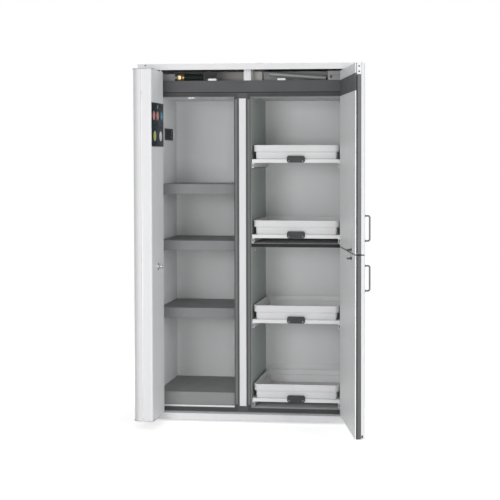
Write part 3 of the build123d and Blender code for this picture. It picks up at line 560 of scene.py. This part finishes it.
def make_piece(name, bm, body, slot, finish=None):
    """Turns a mesh in its body's frame into a piece that rides on that body, in its finish's material or else its
    slot's.
    """
    bmesh.ops.recalc_face_normals(bm, faces=bm.faces)
    bm.transform(Matrix.Scale(MM, 4) @ DOOR_FRAMES.get(body, CABINET))
    mesh = bpy.data.meshes.new(name)
    bm.to_mesh(mesh)
    bm.free()
    mesh.shade_smooth()
    mesh.set_sharp_from_angle(angle=math.radians(SHARP_ANGLE))
    mesh.materials.append(MATERIALS[finish or slot])
    piece = bpy.data.objects.new(name, mesh)
    scene.collection.objects.link(piece)
    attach(piece, body)
    return piece


def blocks(name, boxes, body, slot, radius, finish=None):
    """One piece made of several rounded blocks, each a (low corner, high corner)."""
    bm = bmesh.new()
    for low, high in boxes:
        rounded_block(bm, low, high, radius)
    make_piece(name, bm, body, slot, finish)


def screws(name, heads, body, slot, radius):
    """One piece made of several screw heads, each a (point, direction)."""
    bm = bmesh.new()
    profile = [(radius * share, radius * rise, sides) for share, rise, sides in SCREW_PROFILE]
    for point, direction in heads:
        turned(bm, profile, facing(point, direction))
    make_piece(name, bm, body, slot)


# Plain dark panel on the second leaf: a bezel and a glossy face
PANEL_Z = (1515.0, 1750.0)
PANEL_EDGE = 6.0
BEZEL_PROUD = 1.6
FACE_PROUD = 2.2
FACE_BACK = -1.0
bezel_box = ((PANEL_EDGE, -BEZEL_PROUD, PANEL_Z[0]), (LEAF_WIDTH - PANEL_EDGE, 0.0, PANEL_Z[1]))
blocks("panel_bezel", [bezel_box], "leaf_2", "grip_plastic", radius=1.2)
face_box = (
    (2 * PANEL_EDGE, -FACE_PROUD, PANEL_Z[0] + PANEL_EDGE),
    (LEAF_WIDTH - 2 * PANEL_EDGE, FACE_BACK, PANEL_Z[1] - PANEL_EDGE),
)
blocks("panel_face", [face_box], "leaf_2", "grip_plastic", radius=0.5, finish="panel_gloss")

# Six round lamps on the panel: ((x, z), radius, colour); the profile is (share of the radius, height)
LAMP_PROFILE = [(1.0, 0.0), (1.0, 0.7), (0.96, 1.3), (0.9, 1.3), (0.86, 0.9), (0.6, 1.7), (0.2, 2.1)]
PALE_RED = (0.5, 0.2, 0.17)
LAMPS = {
    "ready": ((128.0, 1728.0), 11.0, (0.2, 0.27, 0.32)),
    "red_1": ((48.0, 1680.0), 25.0, PALE_RED),
    "red_2": ((128.0, 1680.0), 25.0, PALE_RED),
    "blue": ((212.0, 1680.0), 25.0, (0.04, 0.2, 0.34)),
    "yellow": ((66.0, 1572.0), 27.0, (0.46, 0.46, 0.1)),
    "white": ((194.0, 1572.0), 27.0, (0.7, 0.7, 0.71)),
}
for name, ((lamp_x, lamp_z), lamp_radius, colour) in LAMPS.items():
    lens_plastic = f"lamp_{name}"
    surface(lens_plastic, colour, tone=0.05, rough=(0.2, 0.3), pebble=(60.0, 0.00001), edge=1.2)
    lamp = bmesh.new()
    profile = [(share * lamp_radius, height, 0) for share, height in LAMP_PROFILE]
    turned(lamp, profile, facing((lamp_x, -FACE_PROUD, lamp_z), TO_FRONT))
    make_piece(f"panel_lamp_{name}", lamp, "leaf_2", "grip_plastic", lens_plastic)

# Ring round the lock knob
LOCK_RING = [(16.5, 0.0, 0), (20.0, 0.0, 0), (20.0, 0.8, 0), (18.9, 1.6, 0), (17.2, 1.6, 0), (16.5, 0.8, 0)]
knob = node_box("lock_knob")
knob_z = (knob.bottom + knob.top) / 2
lock_ring = bmesh.new()
turned(lock_ring, LOCK_RING, facing((LEAF_WIDTH / 2, 0.0, knob_z), TO_FRONT), ring=True)
make_piece("lock_ring", lock_ring, "leaf_2", "handle_metal", "lock_chrome")

# Bow handles with turned feet
HANDLE_INSET = 22.0
HANDLE_REACH = 26.0
HANDLE_BEND = 9.0
HANDLE_RADIUS = 4.2
BEND_STEPS = 8
FOOT_PROFILE = [(8.5, 0.0, 0), (8.5, 1.6, 0), (7.6, 2.6, 0), (5.4, 3.4, 0), (4.6, 5.0, 0), (4.3, 7.5, 0)]


def bow_points(low, high):
    """Centre line of a bow handle from its lower foot to its upper one."""
    corner = HANDLE_REACH - HANDLE_BEND
    points = [(HANDLE_INSET, 0.0, low)]
    for middle_z, start in ((low + HANDLE_BEND, -90.0), (high - HANDLE_BEND, 0.0)):
        for step in range(BEND_STEPS + 1):
            angle = math.radians(start + 90.0 * step / BEND_STEPS)
            reach = corner + HANDLE_BEND * math.cos(angle)
            points.append((HANDLE_INSET, -reach, middle_z + HANDLE_BEND * math.sin(angle)))
    points.append((HANDLE_INSET, 0.0, high))
    return points


for door in ("upper_door", "lower_door"):
    solid = node_box(door + "_handle")
    low = solid.bottom + HANDLE_RADIUS
    high = solid.top - HANDLE_RADIUS
    handle = bmesh.new()
    bar(handle, bow_points(low, high), HANDLE_RADIUS)
    for foot_z in (low, high):
        turned(handle, FOOT_PROFILE, facing((HANDLE_INSET, 0.0, foot_z), TO_FRONT))
    bow = make_piece(door + "_bow", handle, door, "handle_metal")
    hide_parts(door + "_handle")

# Edge strips and dark fire strips in the doors' free ends
EDGE_X = (0.6, 1.8)
EDGE_Y = (20.4, 38.6)
EDGE_INSET = 1.5
STRIP_X = (0.2, 1.8)
STRIP_Y = (38.8, 45.4)
STRIP_INSET = 6.0
HEAD_CAP_BOTTOM = DOORS_TOP - 57.0
for door, low, high, finish in (
    ("upper_door", UPPER_WING_BOTTOM, HEAD_CAP_BOTTOM, "edge_strip"),
    ("lower_door", DOORS_BOTTOM, LOWER_WING_TOP, "door_core"),
):
    edge_box = ((EDGE_X[0], EDGE_Y[0], low + EDGE_INSET), (EDGE_X[1], EDGE_Y[1], high - EDGE_INSET))
    blocks(door + "_edge_strip", [edge_box], door, "door_core", radius=0.4, finish=finish)
    fire_box = ((STRIP_X[0], STRIP_Y[0], low + STRIP_INSET), (STRIP_X[1], STRIP_Y[1], high - STRIP_INSET))
    blocks(door + "_fire_strip", [fire_box], door, "seal_rubber", radius=0.5)
leaf_box = (
    (LEAF_WIDTH - STRIP_X[1], STRIP_Y[0], DOORS_BOTTOM + STRIP_INSET),
    (LEAF_WIDTH - STRIP_X[0], STRIP_Y[1], DOORS_TOP - STRIP_INSET),
)
blocks("leaf_2_fire_strip", [leaf_box], "leaf_2", "seal_rubber", radius=0.5)

# Fillers that close the fold line where the hinge knuckles leave room for the cabinet's seal
FILLER_REACH = 2.7
FILLER_WIDTH = 5.5
FILLER_SPANS = (
    (DOORS_BOTTOM + 0.5, DOORS_BOTTOM + 16.0),
    (ceiling.bottom + 6.0, ceiling.bottom + 18.0),
)
for leaf, first_x in (("leaf_1", LEAF_WIDTH - FILLER_WIDTH), ("leaf_2", 0.0)):
    fillers = []
    for low, high in FILLER_SPANS:
        corner = (first_x + FILLER_WIDTH, DOOR_THICKNESS + FILLER_REACH, high)
        fillers.append(((first_x, DOOR_THICKNESS, low), corner))
    blocks(leaf + "_fold_filler", fillers, leaf, "casing_paint", radius=0.8)

# Flared end caps on the leaves at the fold, above and below; the first leaf's follow its round corner
CAP_LENGTH = 58.0
CAP_FLARE = 4.5
CAP_GAP = 0.4
CAP_INNER = DOOR_THICKNESS - 1.0
CAP_RIM = 0.6
CAP_LEVELS = ((DOORS_BOTTOM - 3.2, DOORS_BOTTOM), (DOORS_TOP, DOORS_TOP + 3.6))
CAP_ARC_STEPS = 10
FOLD_CORNER = 42.0
round_cap = [(LEAF_WIDTH - CAP_LENGTH, CAP_INNER), (LEAF_WIDTH - CAP_GAP, CAP_INNER)]
for step in range(CAP_ARC_STEPS + 1):
    angle = math.radians(90.0 * step / CAP_ARC_STEPS)
    cap_x = LEAF_WIDTH - FOLD_CORNER + (FOLD_CORNER - CAP_GAP) * math.cos(angle)
    round_cap.append((cap_x, FOLD_CORNER - (FOLD_CORNER + CAP_FLARE) * math.sin(angle)))
round_cap.append((LEAF_WIDTH - CAP_LENGTH, -CAP_FLARE))
plain_cap = [(CAP_GAP, CAP_INNER), (CAP_LENGTH, CAP_INNER), (CAP_LENGTH, -CAP_FLARE), (CAP_GAP, -CAP_FLARE)]
for leaf, outline in (("leaf_1", round_cap), ("leaf_2", plain_cap)):
    caps = bmesh.new()
    for low, high in CAP_LEVELS:
        plate(caps, outline, low, high, CAP_RIM)
    make_piece(leaf + "_end_caps", caps, leaf, "foot_plastic", "cap_plastic")

# Cap, plugs and stop on the free ends of the wing doors
HEAD_CAP_PROUD = 1.2
HEAD_CAP_GAP = 0.5
HEAD_CAP_Y = (21.0, 42.0)
HEAD_SCREW_Y = 31.0
HEAD_SCREW_Z = (HEAD_CAP_BOTTOM + 14.0, DOORS_TOP - 17.0)
PLUG_Y = 14.0
PLUG_Z = {"upper_door": 1390.0, "lower_door": 480.0}
STOP_BOX = ((-1.5, 10.0, 58.0), (0.4, 18.5, 72.0))
head_box = (
    (-HEAD_CAP_PROUD, HEAD_CAP_Y[0], HEAD_CAP_BOTTOM),
    (HEAD_CAP_PROUD, HEAD_CAP_Y[1], DOORS_TOP - HEAD_CAP_GAP),
)
blocks("head_cap", [head_box], "upper_door", "casing_paint", radius=0.8)
cap_heads = [((-HEAD_CAP_PROUD, HEAD_SCREW_Y, z), TO_LEFT) for z in HEAD_SCREW_Z]
screws("head_cap_screws", cap_heads, "upper_door", "dark_metal", radius=4.0)
for door, plug_z in PLUG_Z.items():
    screws(door + "_plug", [((0.0, PLUG_Y, plug_z), TO_LEFT)], door, "zinc_steel", radius=3.0)
blocks("lower_door_stop", [STOP_BOX], "lower_door", "foot_plastic", radius=0.7)

# Latch hooks on the linings beside the split between the wing doors: a root, a tongue and a plate
HOOK_X = (128.0, 152.0)
HOOK_Z = {"upper_door": UPPER_WING_BOTTOM + 13.5, "lower_door": LOWER_WING_TOP - 24.0}
HOOK_REACH = 24.0
ROOT_REACH = 0.35 * HOOK_REACH
ROOT_HALF = 5.0
TONGUE_INSET = 3.0
TONGUE_SPAN = (-4.5, 3.5)
PLATE_MARGIN = 8.0
PLATE_SPAN = (-5.5, 7.0)
PLATE_THICKNESS = 1.2
for door, hook_z in HOOK_Z.items():
    inner = DOOR_THICKNESS
    hook_parts = [
        ((HOOK_X[0], inner, hook_z - ROOT_HALF), (HOOK_X[1], inner + ROOT_REACH, hook_z + ROOT_HALF)),
        (
            (HOOK_X[0] + TONGUE_INSET, inner, hook_z + TONGUE_SPAN[0]),
            (HOOK_X[1] - TONGUE_INSET, inner + HOOK_REACH, hook_z + TONGUE_SPAN[1]),
        ),
        (
            (HOOK_X[0] - PLATE_MARGIN, inner, hook_z + PLATE_SPAN[0]),
            (HOOK_X[1] + PLATE_MARGIN, inner + PLATE_THICKNESS, hook_z + PLATE_SPAN[1]),
        ),
    ]
    blocks(door + "_latch_hook", hook_parts, door, "dark_metal", radius=0.7)

# Seal in the split between the wing doors, short of the hinge
SPLIT_X = (1.0, WING_WIDTH - 50.0)
SPLIT_Y = (3.0, 49.6)
SPLIT_Z = (LOWER_WING_TOP + 0.6, UPPER_WING_BOTTOM)
split_box = ((SPLIT_X[0], SPLIT_Y[0], SPLIT_Z[0]), (SPLIT_X[1], SPLIT_Y[1], SPLIT_Z[1]))
blocks("split_seal", [split_box], "upper_door", "seal_rubber", radius=0.8)

# Fittings on the cabinet: pivot cap, fire strip in the ceiling's edge, catch, floor lip, seal on the divider
PIVOT_CAP_DROP = 8.0
pivot_head = ((-wing_pivot[0], roof.front, roof.top - PIVOT_CAP_DROP), TO_FRONT)
screws("pivot_cap", [pivot_head], "cabinet", "dark_metal", radius=4.0)
FIRE_INSET = 30.0
FIRE_Y = (ceiling.front - 0.2, ceiling.front + 0.4)
FIRE_Z = (ceiling.bottom + 22.0, ceiling.bottom + 27.0)
ceiling_box = (
    (roof.left + FIRE_INSET, FIRE_Y[0], FIRE_Z[0]),
    (roof.right - FIRE_INSET, FIRE_Y[1], FIRE_Z[1]),
)
blocks("ceiling_fire_strip", [ceiling_box], "cabinet", "seal_rubber", radius=0.15)
CATCH_X = (-332.0, -296.0)
CATCH_Y = (ceiling.front + 3.5, ceiling.front + 26.5)
CATCH_DROP = 8.0
catch_box = (
    (CATCH_X[0], CATCH_Y[0], ceiling.bottom - CATCH_DROP),
    (CATCH_X[1], CATCH_Y[1], ceiling.bottom),
)
blocks("ceiling_catch", [catch_box], "cabinet", "casing_paint", radius=1.5)
FLOOR_LIP_GAP = 1.0
FLOOR_LIP_Y = (ceiling.front + 3.5, ceiling.front + 8.5)
FLOOR_LIP_Z = (FLOOR_TOP - 1.0, FLOOR_TOP + 8.0)
floor_box = (
    (INNER_LEFT + FLOOR_LIP_GAP, FLOOR_LIP_Y[0], FLOOR_LIP_Z[0]),
    (partition.left - FLOOR_LIP_GAP, FLOOR_LIP_Y[1], FLOOR_LIP_Z[1]),
)
blocks("floor_lip", [floor_box], "cabinet", "frame_paint", radius=1.3)
DIVIDER_SEAL_GAP = 3.0
DIVIDER_SEAL_PROUD = 1.8
DIVIDER_SEAL_Z = (divider.bottom + 2.0, divider.top - 2.0)
divider_box = (
    (divider.left + DIVIDER_SEAL_GAP, divider.front - DIVIDER_SEAL_PROUD, DIVIDER_SEAL_Z[0]),
    (divider.right - DIVIDER_SEAL_GAP, divider.front, DIVIDER_SEAL_Z[1]),
)
blocks("divider_seal", [divider_box], "cabinet", "seal_rubber", radius=0.8)

# Brass collar and hexagon nut between the closer's cylinder and its lever
cylinder = node_box("closer_cylinder")
CLOSER_AXIS = ((cylinder.front + cylinder.back) / 2, (cylinder.bottom + cylinder.top) / 2)
COLLAR_X = cylinder.left - 0.1
NUT_X = COLLAR_X - 17.2
COLLAR = [(16.9, 0.0, 0), (17.9, 0.6, 0), (17.9, 13.0, 0), (17.2, 14.5, 0), (17.2, 16.5, 0), (16.9, 17.0, 0)]
NUT = [(16.9, 0.0, 0), (19.7, 0.6, 6), (19.9, 1.6, 6), (19.9, 16.5, 6), (19.7, 18.5, 6), (16.9, 19.4, 0)]
closer_nut = bmesh.new()
turned(closer_nut, COLLAR, facing((COLLAR_X, *CLOSER_AXIS), TO_LEFT), ring=True)
turned(closer_nut, NUT, facing((NUT_X, *CLOSER_AXIS), TO_LEFT), ring=True)
make_piece("closer_nut", closer_nut, "cabinet", "zinc_steel", "brass")

# Shields on both sides of the centre block in the mechanism's bay, and a liner behind the sloping tube
SHEET_THICKNESS = 2.0
BAY_TOP = roof.bottom - 2.0
CENTRE_BLOCK_HALF = 20.0
LEFT_SHIELD_X = (-190.0, -CENTRE_BLOCK_HALF)
LEFT_SHIELD_Y = -150.0
RIGHT_SHIELD_X = (CENTRE_BLOCK_HALF, 72.0)
RIGHT_SHIELD_Y = -170.0
LINER_X = (73.0, 440.0)
LINER_Y = -152.0


def bay_sheet(low_x, high_x, front):
    """Box of an upright sheet in the bay, given its ends and its front face."""
    return (low_x, front, ceiling.top), (high_x, front + SHEET_THICKNESS, BAY_TOP)


shields = [bay_sheet(*LEFT_SHIELD_X, LEFT_SHIELD_Y), bay_sheet(*RIGHT_SHIELD_X, RIGHT_SHIELD_Y)]
blocks("bay_shields", shields, "cabinet", "casing_paint", radius=0.6, finish="shield_steel")
liner = bay_sheet(*LINER_X, LINER_Y)
blocks("bay_liner", [liner], "cabinet", "shelf_paint", radius=0.6, finish="liner_paint")

# Screws of the back panel and the roof flange
BACK_ROWS = 11
BACK_PITCH = 184.0
BACK_START = SILL_TOP + 24.0
BACK_INSET = 14.0
back_heads = []
for row in range(BACK_ROWS):
    for back_x in (roof.left + BACK_INSET, 0.0, roof.right - BACK_INSET):
        back_heads.append(((back_x, roof.back, BACK_START + row * BACK_PITCH), TO_BACK))
screws("back_screws", back_heads, "cabinet", "zinc_steel", radius=5.0)
spigot = node_box("exhaust_spigot")
FLANGE_TOP = roof.top + 2.0
FLANGE_INSET = 10.0
flange_heads = []
for flange_x in (spigot.left + FLANGE_INSET, spigot.right - FLANGE_INSET):
    for flange_y in (spigot.front + FLANGE_INSET, spigot.back - FLANGE_INSET):
        flange_heads.append(((flange_x, flange_y, FLANGE_TOP), TO_TOP))
screws("flange_screws", flange_heads, "cabinet", "zinc_steel", radius=4.0)

# Screws of the vent grille
grille = node_box("left_wall_grille")
GRILLE_INSET = 4.5
grille_z = (grille.bottom + grille.top) / 2
grille_heads = []
for grille_y in (grille.front + GRILLE_INSET, grille.back - GRILLE_INSET):
    grille_heads.append(((grille.right, grille_y, grille_z), TO_RIGHT))
screws("grille_screws", grille_heads, "cabinet", "dark_metal", radius=2.2)

# Dark strips under the fixed rails: painted shadow of the rails on the walls
SHADOW_STRIP_DEPTH = 6.0
SHADOW_STRIP_HEIGHT = 3.0
rails = node_box("fixed_rails")
SHADOW_STRIP_Y = (rails.front + 5.5, rails.back - 15.5)
RAIL_DROP = 47.5
shadow_strips = []
for solid in TRAYS.values():
    rail_base = solid.bottom - RAIL_DROP
    for low_x in (rails.left, rails.right - SHADOW_STRIP_DEPTH):
        high = (low_x + SHADOW_STRIP_DEPTH, SHADOW_STRIP_Y[1], rail_base)
        shadow_strips.append(((low_x, SHADOW_STRIP_Y[0], rail_base - SHADOW_STRIP_HEIGHT), high))
blocks("rail_shadow_strips", shadow_strips, "cabinet", "seal_rubber", radius=0.8)

# Screws under the divider, and a plate over the rear duct
DIVIDER_SCREW = (-115.0, divider.bottom - 25.0)
DUCT_GAP = 4.0
DUCT_THICKNESS = 2.5
DUCT_Z = (FLOOR_TOP + 4.0, FLOOR_TOP + 164.0)
divider_heads = [((divider.left, *DIVIDER_SCREW), TO_RIGHT), ((divider.right, *DIVIDER_SCREW), TO_LEFT)]
screws("divider_screws", divider_heads, "cabinet", "roller_plastic", radius=6.0)
duct_box = (
    (partition.right + DUCT_GAP, INNER_BACK - DUCT_THICKNESS, DUCT_Z[0]),
    (INNER_RIGHT - DUCT_GAP, INNER_BACK, DUCT_Z[1]),
)
blocks("duct_plate", [duct_box], "cabinet", "wall_board", radius=1.0)

# Dark pad in the duct pocket behind the grille's slots: painted shade seen through the slots
PAD_X = (INNER_LEFT - 14.0, INNER_LEFT - 6.0)
PAD_INSET = 6.1
pad_box = (
    (PAD_X[0], grille.front + PAD_INSET, grille.bottom + PAD_INSET),
    (PAD_X[1], grille.back - PAD_INSET, grille.top - PAD_INSET),
)
blocks("grille_shade_pad", [pad_box], "cabinet", "seal_rubber", radius=1.5)

# Moulded trays: rounded loops up the outside, over a rolled lip and down the inside to the floor
solid = TRAYS["drawer_1"]
TRAY_HALF = ((solid.right - solid.left) / 2, (solid.back - solid.front) / 2)
TRAY_MIDDLE = ((solid.left + solid.right) / 2, (solid.front + solid.back) / 2)
RIM_TOP = solid.top - solid.bottom
TRAY_STEP = (11.0, 5.0)
TRAY_CORNER = 22.0
TRAY_WALL = 4.0
FOOT_TOP = 42.0
FOOT_DRAFT = 1.8
LIP = 1.8
GROOVE = 1.6
CORNER_STEPS = 7
RIB_COUNT = 7
RIB_PITCH = 56.0
RIB_HALF = (5.0, 195.0)
RIB_SINK = 0.5
RIB_RISE = 2.5
RIB_ROUNDING = 1.4

# Faces that a tray's profile is measured in from, as insets in x and y from the rim's outer face
RIM_FACE = (0.0, 0.0)
STEP_FACE = TRAY_STEP
FOOT_FACE = (TRAY_STEP[0] + FOOT_DRAFT, TRAY_STEP[1] + FOOT_DRAFT)
LEDGE_EDGE = (TRAY_STEP[0] - 1.2, TRAY_STEP[1] - 0.6)

# Profile of a tray: the face, the inset from it, and the height over the tray's underside
TRAY_PROFILE = [
    (FOOT_FACE, 4.0, 0.0),
    (FOOT_FACE, 3.6, 2.6),
    (FOOT_FACE, 0.8, 3.4),
    (FOOT_FACE, 0.0, 4.6),
    (STEP_FACE, 0.0, FOOT_TOP - 5.0),
    (STEP_FACE, GROOVE, FOOT_TOP - 4.4),
    (STEP_FACE, GROOVE, FOOT_TOP - 0.6),
    (STEP_FACE, 0.4, FOOT_TOP),
    (RIM_FACE, 1.2, FOOT_TOP),
    (RIM_FACE, 0.3, FOOT_TOP + 0.6),
    (RIM_FACE, 0.0, FOOT_TOP + 2.0),
    (RIM_FACE, -0.4, RIM_TOP - 6.5),
    (RIM_FACE, -LIP, RIM_TOP - 5.5),
    (RIM_FACE, -LIP, RIM_TOP - 1.2),
    (RIM_FACE, -0.6 * LIP, RIM_TOP - 0.2),
    (RIM_FACE, 0.0, RIM_TOP),
    (RIM_FACE, TRAY_WALL - 1.2, RIM_TOP),
    (RIM_FACE, TRAY_WALL - 0.3, RIM_TOP - 0.5),
    (RIM_FACE, TRAY_WALL, RIM_TOP - 2.0),
    (RIM_FACE, TRAY_WALL, FOOT_TOP + TRAY_WALL + 2.0),
    (RIM_FACE, TRAY_WALL + 1.2, FOOT_TOP + TRAY_WALL),
    (LEDGE_EDGE, TRAY_WALL, FOOT_TOP + TRAY_WALL),
    (STEP_FACE, TRAY_WALL, FOOT_TOP + TRAY_WALL - 1.5),
    (FOOT_FACE, TRAY_WALL, TRAY_WALL + 4.0),
    (FOOT_FACE, TRAY_WALL + 1.3, TRAY_WALL + 1.2),
    (FOOT_FACE, TRAY_WALL + 4.5, TRAY_WALL),
]


def tray_loop(bm, inset_x, inset_y, height):
    """Rounded rectangle of points; its corner tightens as it moves in from the rim's outer face."""
    radius = max(TRAY_CORNER - max(inset_x, inset_y), TRAY_CORNER / 3)
    half_x = TRAY_HALF[0] - inset_x - radius
    half_y = TRAY_HALF[1] - inset_y - radius
    loop = []
    for corner, (side_x, side_y) in enumerate(((1, 1), (-1, 1), (-1, -1), (1, -1))):
        for step in range(CORNER_STEPS + 1):
            angle = math.radians(90.0 * (corner + step / CORNER_STEPS))
            x = TRAY_MIDDLE[0] + side_x * half_x + radius * math.cos(angle)
            y = TRAY_MIDDLE[1] + side_y * half_y + radius * math.sin(angle)
            loop.append(bm.verts.new((x, y, height)))
    return loop


def moulded_tray(drawer, base):
    """Tray with its floor ribs, which stands for the CAD tray; base is the height of its underside."""
    bm = bmesh.new()
    loops = []
    for face, inset, height in TRAY_PROFILE:
        loops.append(tray_loop(bm, face[0] + inset, face[1] + inset, base + height))
    join_loops(bm, zip(loops, loops[1:]))
    close_ends(bm, loops)
    floor = base + TRAY_WALL
    for rib in range(RIB_COUNT):
        rib_x = TRAY_MIDDLE[0] + (rib - (RIB_COUNT - 1) / 2) * RIB_PITCH
        low = (rib_x - RIB_HALF[0], TRAY_MIDDLE[1] - RIB_HALF[1], floor - RIB_SINK)
        high = (rib_x + RIB_HALF[0], TRAY_MIDDLE[1] + RIB_HALF[1], floor + RIB_RISE)
        rounded_block(bm, low, high, RIB_ROUNDING)
    tray = make_piece(drawer + "_moulding", bm, drawer, "tray_plastic")
    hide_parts(drawer + "_tray")


# Each drawer's tray and the screws in its grip
GRIP_INSET = 12.0
GRIP_RISE = 9.0
for drawer in DRAWERS:
    moulded_tray(drawer, TRAYS[drawer].bottom)
    grip = node_box(drawer + "_grip")
    grip_heads = []
    for screw_x in (grip.left + GRIP_INSET, grip.right - GRIP_INSET):
        grip_heads.append(((screw_x, grip.front, grip.bottom + GRIP_RISE), TO_FRONT))
    screws(drawer + "_grip_screws", grip_heads, drawer, "zinc_steel", radius=2.6)

# Floor, light and camera, in metres
FLOOR_RADIUS = 6.0
FLOOR_SIDES = 96
FLOOR_GREY = (0.82, 0.82, 0.82, 1.0)
FLOOR_GLOW = 0.55
FLOOR_FADE = (1.6, 4.2)
WHITE = (1.0, 1.0, 1.0, 1.0)
AMBIENT = 0.36


def seen_rays(tree):
    """Socket that is 1 for rays from the camera, from reflections and through clear things."""
    path = add(tree, "LightPath")
    seen = path.outputs["Is Camera Ray"]
    for kind in ("Is Glossy Ray", "Is Transmission Ray"):
        links = {0: seen, 1: path.outputs[kind]}
        seen = add(tree, "Math", links, operation="ADD", use_clamp=True).outputs[0]
    return seen


def soft_floor():
    """Pale floor that keeps the shadow, looks white around it and fades out far from the object."""
    bpy.ops.mesh.primitive_circle_add(vertices=FLOOR_SIDES, radius=FLOOR_RADIUS, fill_type="NGON")
    floor = bpy.context.object
    floor.name = "floor"
    material, tree, shader = blank("floor_white", Roughness=0.8, Base_Color=FLOOR_GREY)
    glow = span(tree, seen_rays(tree), 0.0, 1.0, 0.0, FLOOR_GLOW)
    shine = add(tree, "Emission", {"Color": WHITE, "Strength": glow}).outputs["Emission"]
    lit = add(tree, "AddShader", {0: shader.outputs["BSDF"], 1: shine}).outputs[0]
    place = add(tree, "TexCoord").outputs["Object"]
    reach = add(tree, "VectorMath", {0: place}, operation="LENGTH").outputs["Value"]
    clear = add(tree, "BsdfTransparent").outputs[0]
    blended = add(tree, "MixShader", {"Fac": span(tree, reach, *FLOOR_FADE), 1: lit, 2: clear})
    tree.links.new(blended.outputs[0], tree.nodes["Material Output"].inputs["Surface"])
    floor.data.materials.append(material)


def soft_world():
    """White to the eye and in reflections, and an even ambient light elsewhere."""
    world = bpy.data.worlds.new("studio")
    world.use_nodes = True
    tree = world.node_tree
    background = tree.nodes["Background"]
    background.inputs["Color"].default_value = WHITE
    strength = span(tree, seen_rays(tree), 0.0, 1.0, AMBIENT, 1.0)
    tree.links.new(strength, background.inputs["Strength"])
    scene.world = world


def area_light(name, place, target, size, watts):
    """Square soft light that faces its target."""
    lamp = bpy.data.lights.new(name, "AREA")
    lamp.shape = "SQUARE"
    lamp.size = size
    lamp.energy = watts
    holder = bpy.data.objects.new(name, lamp)
    scene.collection.objects.link(holder)
    holder.location = place
    holder.rotation_mode = "QUATERNION"
    holder.rotation_quaternion = (Vector(target) - Vector(place)).to_track_quat("-Z", "Y")


soft_floor()
soft_world()
area_light("key", place=(-1.3, -6.4, 1.7), target=(0.0, 0.0, 1.0), size=1.7, watts=102.0)
area_light("top", place=(-0.5, -4.0, 4.8), target=(0.0, 0.0, 0.9), size=2.2, watts=26.0)
area_light("low", place=(1.6, -5.4, 0.7), target=(0.0, 0.0, 0.9), size=2.0, watts=56.0)
area_light("fill", place=(4.6, -4.2, 1.9), target=(0.0, 0.0, 1.0), size=2.6, watts=142.0)
area_light("rear", place=(1.5, 4.4, 5.6), target=(0.0, 0.0, 1.0), size=3.0, watts=130.0)

# Camera at the photograph's viewing angle; its turns are in degrees and its focal length in millimetres
CAMERA_PLACE = (1.1635, -6.9002, 1.4631)
CAMERA_LEFT = 6.063
CAMERA_DOWN = 2.046
FOCAL_LENGTH = 88.13
SHIFT = (-0.16, -0.1)
lens = bpy.data.cameras.new("camera")
lens.lens = FOCAL_LENGTH
lens.shift_x, lens.shift_y = SHIFT
camera = bpy.data.objects.new("camera", lens)
scene.collection.objects.link(camera)
camera.location = CAMERA_PLACE
camera.rotation_euler = (math.radians(90.0 - CAMERA_DOWN), 0.0, math.radians(CAMERA_LEFT))
scene.camera = camera
